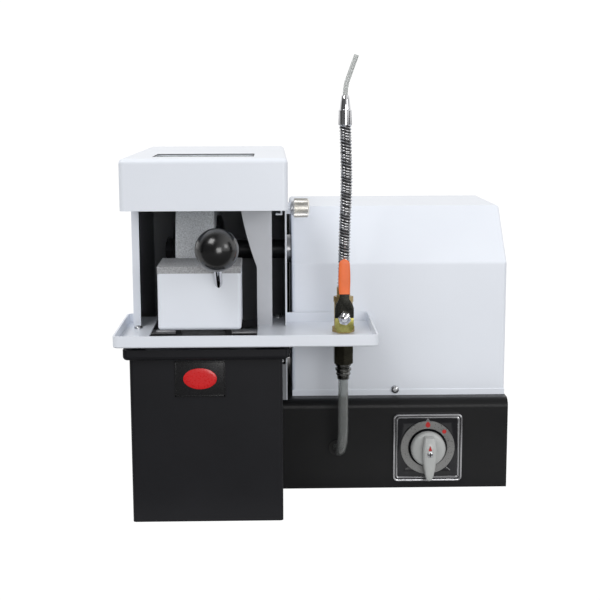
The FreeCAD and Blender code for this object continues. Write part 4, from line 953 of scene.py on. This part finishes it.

# Motor cover
# One white-coated sheet folded over the drive, with a sloping front, a hem along the base, and
# cooling slots punched in its back. A black strip stands at the back of the gap between its side and
# the chamber: painted shade, which keeps that gap dark.
dress(white_coat, "motor_cover")
# The strip is painted shade: a near-black sheet at the back of the gap.
gap_shade_finish = finish("painted_gap_shade", (0.016, 0.016, 0.017), 0.9, mottle=0.3, patch=500, grain=1500, relief=0.0002)
low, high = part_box("motor_cover")
shade_strip_from = high.y - 0.018
corners = [Vector((low.x - side, shade_strip_from, z)) for side,
    z in ((0.0048, low.z + 0.004), (0.0002, low.z + 0.004), (0.0002, high.z - 0.006),
    (0.0048, high.z - 0.006))]
gap_shade = slab("gap_foam_strip", corners, Vector((0, 0.006, 0)), 0.0004, gap_shade_finish)
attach(gap_shade, "frame")

# Case screws
# Five pan-head machine screws with cross recesses, zinc plated. Two hold the tray's tongues, one the
# cover's front hem and two its back.
HEAD_R = 0.0038
HEAD_TALL = 0.0024
SHANK_R = 0.002
SHANK_LONG = 0.003
RECESS = 0.0011
SQUARE = ((-1, -1), (1, -1), (1, 1), (-1, 1))


def cut_away(piece, *cutters):
    """Cuts these pieces out of another, then removes them."""
    for cutter in cutters:
        cut = piece.modifiers.new(cutter.name, "BOOLEAN")
        cut.operation = "DIFFERENCE"
        cut.solver = "EXACT"
        cut.object = cutter
    kept(piece)
    for cutter in cutters:
        bpy.data.objects.remove(cutter)


head = turned("pan_head", [(-SHANK_LONG, 0), (-SHANK_LONG, SHANK_R), (0, SHANK_R), (0, HEAD_R - 0.0002),
    (0.0003, HEAD_R), (HEAD_TALL * 0.45, HEAD_R * 0.97), (HEAD_TALL * 0.75, HEAD_R * 0.82),
    (HEAD_TALL * 0.93, HEAD_R * 0.55), (HEAD_TALL, 0)], Vector((0, 0, 0)), (0, 0, 1), zinc, sides=32)
cutters = []
for along, across_it in ((0.0021, 0.00042), (0.00042, 0.0021)):
    corners = [Vector((x * along, y * across_it, HEAD_TALL - RECESS)) for x, y in SQUARE]
    cutters.append(slab("recess", corners, Vector((0, 0, RECESS + 0.001)), 0.00005, black_oxide,
        segments=1))
cut_away(head, *cutters)

cover_low, cover_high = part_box("motor_cover")
screw_groups = {}
for vertex in frame["nodes"]["case_screws"].data.vertices:
    for seed in screw_groups:
        if (Vector(seed) - vertex.co).length < 0.02:
            screw_groups[seed].append(vertex.co.copy())
            break
    else:
        screw_groups[tuple(vertex.co)] = [vertex.co.copy()]
seats = []
for corners in screw_groups.values():
    lowest = Vector([min(corner[axis] for corner in corners) for axis in range(3)])
    highest = Vector([max(corner[axis] for corner in corners) for axis in range(3)])
    centre = (lowest + highest) / 2
    if centre.z > cover_low.z + 0.03:
        seats.append((Vector((centre.x, centre.y, highest.z - HEAD_TALL)), Vector((0, 0, 1))))
    elif centre.y < (cover_low.y + cover_high.y) / 2:
        seats.append((Vector((centre.x, lowest.y + HEAD_TALL, centre.z)), Vector((0, -1, 0))))
    else:
        seats.append((Vector((centre.x, highest.y - HEAD_TALL, centre.z)), Vector((0, 1, 0))))
spots = bpy.data.meshes.new("screw_seats")
spots.from_pydata([tuple(seat) for seat, way in seats], [], [])
ways = spots.attributes.new("way", "FLOAT_VECTOR", "POINT")
for number, (seat, way) in enumerate(seats):
    ways.data[number].vector = way
screws = placed("cross_head_case_screws", spots)
screw_tree, given, result = new_tree("screws_on_seats", {"Size": 1.0})
stored = step(screw_tree, "GeometryNodeInputNamedAttribute", {"Name": "way"}, data_type="FLOAT_VECTOR")
aim = step(screw_tree, "FunctionNodeAlignEulerToVector", {"Vector": stored}, axis="Z")
pattern = step(screw_tree, "GeometryNodeObjectInfo", {"Object": head})
size = step(screw_tree, "ShaderNodeCombineXYZ", {"X": given["Size"], "Y": given["Size"],
    "Z": given["Size"]})
set_screws = step(screw_tree, "GeometryNodeInstanceOnPoints",
    {"Points": given["Geometry"], "Instance": pattern.outputs["Geometry"], "Rotation": aim,
    "Scale": size})
end_tree(screw_tree, result, set_screws, zinc)
grown(screws, screw_tree, {"Size": 1.0})
bpy.data.objects.remove(head)
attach(screws, "frame")
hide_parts("case_screws")

# Cam switch plate
# A square moulded plate with two chromed frames round a glossy black face, clipped to the base's
# front wall and bored for the knob's shaft.
CORNER_STEPS = 8
SHAFT_ROOM = 0.0036
BLACK_ROWS = (5, 10)


def rounded_square(shape, half, radius, depth, middle):
    """A loop of points round a square with rounded corners, facing the front."""
    loop = []
    for corner, (x, z) in enumerate(((1, 1), (-1, 1), (-1, -1), (1, -1))):
        for number in range(CORNER_STEPS + 1):
            turn = math.pi / 2 * (corner + number / CORNER_STEPS)
            loop.append(shape.verts.new((middle.x + x * (half - radius) + radius * math.cos(turn), depth,
                middle.z + z * (half - radius) + radius * math.sin(turn))))
    return loop


low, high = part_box("switch_plate")
middle = (low + high) / 2
half = (high.x - low.x) / 2
face_y = high.y - 0.0016
shape = bmesh.new()
steps = [(half, 0.0045, high.y), (half, 0.0045, low.y + 0.0009), (half - 0.0003, 0.0042, low.y + 0.0003),
    (half - 0.0010, 0.0036, low.y), (half - 0.0018, 0.0030, low.y + 0.0003),
    (half - 0.0021, 0.0028, face_y), (half - 0.0026, 0.0026, face_y),
    (half - 0.0028, 0.0026, low.y + 0.0009), (half - 0.0035, 0.0022, low.y + 0.0005),
    (half - 0.0042, 0.0018, low.y + 0.0009), (half - 0.0046, 0.0016, face_y),
    (half - 0.0052, 0.0010, face_y)]
loops = [rounded_square(shape, *one, middle) for one in steps]
bridged(shape, loops, BLACK_ROWS).material_index = 1
gloss_black = tune(finish("gloss_black_face", (0.006, 0.006, 0.008), 0.12, mottle=0.2, patch=40,
    grain=400, relief=0.000004), Coat_Weight=0.4)
frame_chrome = finish("frame_chrome", (0.60, 0.60, 0.62), 0.16, metallic=1.0, mottle=0.03, grain=600,
    relief=0.000004)
plate = built("framed_switch_plate", shape, frame_chrome, gloss_black)
cut_away(plate, turned("shaft_hole", [(-SHAFT_ROOM, 0), (-SHAFT_ROOM, SHAFT_ROOM),
    (SHAFT_ROOM, SHAFT_ROOM), (SHAFT_ROOM, 0)], middle, (0, 1, 0), gloss_black))
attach(plate, "frame")
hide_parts("switch_plate")

# Cam switch dial
# A satin anodised ring with two enamelled red marks: a drop for off at the top and a dot for on,
# an eighth of a turn to the right. A small grey pointer stands above the upper mark.
MARK_LIFT = 0.00012
DROP_STEPS = 20
DROP_HALF = 0.0023
DROP_UP = 0.0032

low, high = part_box("switch_dial")
dial_middle = Vector(((low.x + high.x) / 2, high.y, (low.z + high.z) / 2))
dial_r = (high.x - low.x) / 2
dial_in = dial_r * 0.712
thick = high.y - low.y
anodised = finish("satin_anodised", (0.30, 0.30, 0.295), 0.30, metallic=0.9, mottle=0.05, patch=50,
    relief=0.000006)
mark_red = finish("red_mark_paint", (0.46, 0.010, 0.010), 0.35, mottle=0.06, patch=200, grain=800)
pointer_grey = finish("grey_pointer_paint", (0.16, 0.16, 0.17), 0.4, mottle=0.06, patch=200, grain=800)
ring = turned("dial_ring", [(0, dial_in), (0, dial_r), (thick - 0.0003, dial_r), (thick, dial_r - 0.0003),
    (thick, dial_in + 0.0003), (thick - 0.0003, dial_in)], dial_middle, (0, -1, 0), anodised, closed=True,
    sides=128)
mark_r = (dial_in + dial_r) / 2
drop = []
for number in range(DROP_STEPS):
    turn = 2 * math.pi * number / DROP_STEPS
    tall = DROP_UP if math.sin(turn) > 0 else DROP_HALF
    drop.append(dial_middle + Vector((DROP_HALF * math.cos(turn) * (1 - 0.35 * max(0, math.sin(turn))),
        -thick + 0.0002, mark_r + tall * math.sin(turn))))
off_mark = slab("dial_off_mark", drop, Vector((0, -MARK_LIFT - 0.0002, 0)), 0.00004, mark_red, segments=1)
on_at = dial_middle + Vector((math.sin(math.pi / 4) * mark_r, -thick + 0.0002,
    math.cos(math.pi / 4) * mark_r))
on_mark = turned("dial_on_mark", [(0, 0), (0, 0.0020), (MARK_LIFT + 0.0002, 0.0019),
    (MARK_LIFT + 0.0002, 0)], on_at, (0, -1, 0), mark_red, sides=32)
pointer = [dial_middle + Vector((x, -0.0001, dial_r + z)) for x,
    z in ((-0.0018, 0.0003), (0.0018, 0.0003), (0.0004, 0.0023), (-0.0004, 0.0023))]
pointer_mark = slab("dial_pointer", pointer, Vector((0, -0.0003, 0)), 0.00005, pointer_grey, segments=1)
dial = together("marked_dial_ring", ring, off_mark, on_mark, pointer_mark)
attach(dial, "frame")
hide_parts("switch_dial")

# Cam switch knob
# A pale grey moulded knob: a round skirt with a tapered lever across it, a red pointer let into its
# face and a screw in its middle, whose cross recess is painted shade: two near-black bars on its face.
low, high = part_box("switch_knob")
knob_at = Vector((dial_middle.x, low.y + 0.0192, dial_middle.z))
disc_r = (high.x - low.x) / 2
shaft_long = high.y - knob_at.y
knob_plastic = tune(finish("pale_grey_moulding", (0.44, 0.452, 0.445), 0.33, mottle=0.03, grain=500,
    relief=0.000008), Coat_Weight=0.15)
recess_shade_finish = finish("painted_recess_shade", (0.03, 0.03, 0.028), 0.4, metallic=0.6, mottle=0.2, patch=200)
disc = turned("knob_disc", [(-shaft_long, 0), (-shaft_long, 0.003), (-0.0004, 0.003),
    (-0.0004, disc_r - 0.0008), (0.0004, disc_r), (0.0052, disc_r), (0.0068, disc_r - 0.0005),
    (0.0080, disc_r - 0.0016), (0.0085, disc_r - 0.0030), (0.0090, disc_r - 0.0062), (0.0092, 0.004),
    (0.0092, 0)], knob_at, (0, -1, 0), knob_plastic, sides=96)
shape = bmesh.new()
sections = ((0.0135, 0.0040, 0.0040), (0.0128, 0.0047, 0.0075), (0.0080, 0.0056, 0.0100),
    (0.0030, 0.0064, 0.0108), (-0.0060, 0.0062, 0.0108), (-0.0150, 0.0050, 0.0106),
    (-0.0225, 0.0037, 0.0100), (-0.0258, 0.0026, 0.0090), (-0.0273, 0.0010, 0.0070))
loops = []
base_y = knob_at.y - 0.0040
for z, half_wide, tall in sections:
    rim = min(0.0016, half_wide * 0.6)
    loops.append([shape.verts.new((knob_at.x + x, base_y - y, knob_at.z + z)) for x,
        y in ((-half_wide, 0), (-half_wide * 0.97, tall + 0.004 - rim),
        (-half_wide * 0.80, tall + 0.004 - rim * 0.3), (-half_wide + rim * 1.5, tall + 0.004),
        (half_wide - rim * 1.5, tall + 0.004), (half_wide * 0.80, tall + 0.004 - rim * 0.3),
        (half_wide * 0.97, tall + 0.004 - rim), (half_wide, 0))])
bridged(shape, loops)
bmesh.ops.subdivide_edges(shape, edges=shape.edges, cuts=1, smooth=0.6, use_grid_fill=True)
grip = built("knob_lever", shape, knob_plastic, sharp=50)
face_y = base_y - 0.0148
arrow = [Vector((knob_at.x + x, face_y + 0.0003, knob_at.z + z)) for x,
    z in ((-0.0017, 0.0022), (0.0017, 0.0022), (0, 0.0070))]
arrow_mark = slab("knob_arrow", arrow, Vector((0, -0.0005, 0)), 0.00005, mark_red, segments=1)
screw_at = Vector((knob_at.x, face_y + 0.0004, knob_at.z - 0.0014))
cap_screw = turned("knob_screw", [(0, 0), (0, 0.0029), (0.0005, 0.0028), (0.0007, 0.0024), (0.0007, 0)],
    screw_at, (0, -1, 0), zinc, sides=32)
# The cross recess is painted shade: two near-black bars stand just proud of the screw's face, and nothing
# is cut.
recess_shade_bars = [slab("knob_screw_slot", [screw_at + Vector((x * along, -0.0006, z * across_it)) for x,
    z in SQUARE], Vector((0, -0.00015, 0)), 0.00003, recess_shade_finish, segments=1) for along,
    across_it in ((0.0022, 0.0005), (0.0005, 0.0022))]
knob = together("lever_switch_knob", disc, grip, arrow_mark, cap_screw, *recess_shade_bars)
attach(knob, "switch_grip")
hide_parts("switch_knob")

# Switch body and capacitor
# A moulded black contact block behind the switch plate, and the motor's aluminium run capacitor on
# the base's floor.
dress(finish("moulded_black_plastic", (0.02, 0.02, 0.021), 0.5, mottle=0.12, patch=80, relief=0.00002),
    "switch_body")
dress(finish("drawn_aluminium", (0.62, 0.63, 0.64), 0.28, metallic=1.0, mottle=0.04, relief=0.000006,
    streak=(1, 1, 0.1)), "run_capacitor")

# Bearing housing and bearings
# A grey-painted casting bolted to the base carries the spindle on two sealed ball bearings. The
# motor turns on two more in its end bells.
dress(finish("grey_painted_casting", (0.14, 0.15, 0.16), 0.55, mottle=0.12, grain=700, relief=0.00007),
    "bearing_housing", "motor_mount")
dress(ground_steel, "ball_bearings")

# Pulleys and belt
# Turned alloy pulleys and a round-backed rubber belt, with a faint moulded texture, drive the
# spindle half as fast again as the motor.
dress(finish("turned_alloy", (0.45, 0.46, 0.47), 0.34, metallic=1.0, mottle=0.06, patch=70,
    relief=0.000008, streak=(8, 1, 1)), "spindle_pulley", "motor_pulley")
dress(finish("belt_rubber", (0.014, 0.014, 0.015), 0.7, mottle=0.2, patch=260, grain=1500,
    relief=0.00004), "drive_belt")

# Motor
# A capacitor-run motor: a die-cast shell and end bells, a stack of thin steel sheets inside, a cast
# rotor, and a moulded fan under a pressed cover.
dress(finish("die_cast_shell", (0.30, 0.31, 0.33), 0.45, metallic=0.7, mottle=0.08, patch=70, grain=700,
    relief=0.00004), "motor_housing", "end_bells")
dress(finish("stacked_sheets", (0.13, 0.11, 0.10), 0.5, metallic=0.7, mottle=0.30, patch=30, grain=500,
    relief=0.00006, streak=(40, 0.5, 0.5)), "stator", "rotor")
dress(finish("fan_moulding", (0.10, 0.10, 0.11), 0.5, patch=80, grain=800, relief=0.00002), "cooling_fan")
dress(finish("pressed_fan_cover", (0.22, 0.23, 0.24), 0.42, metallic=0.4, mottle=0.06, grain=700,
    relief=0.00002), "fan_cover")
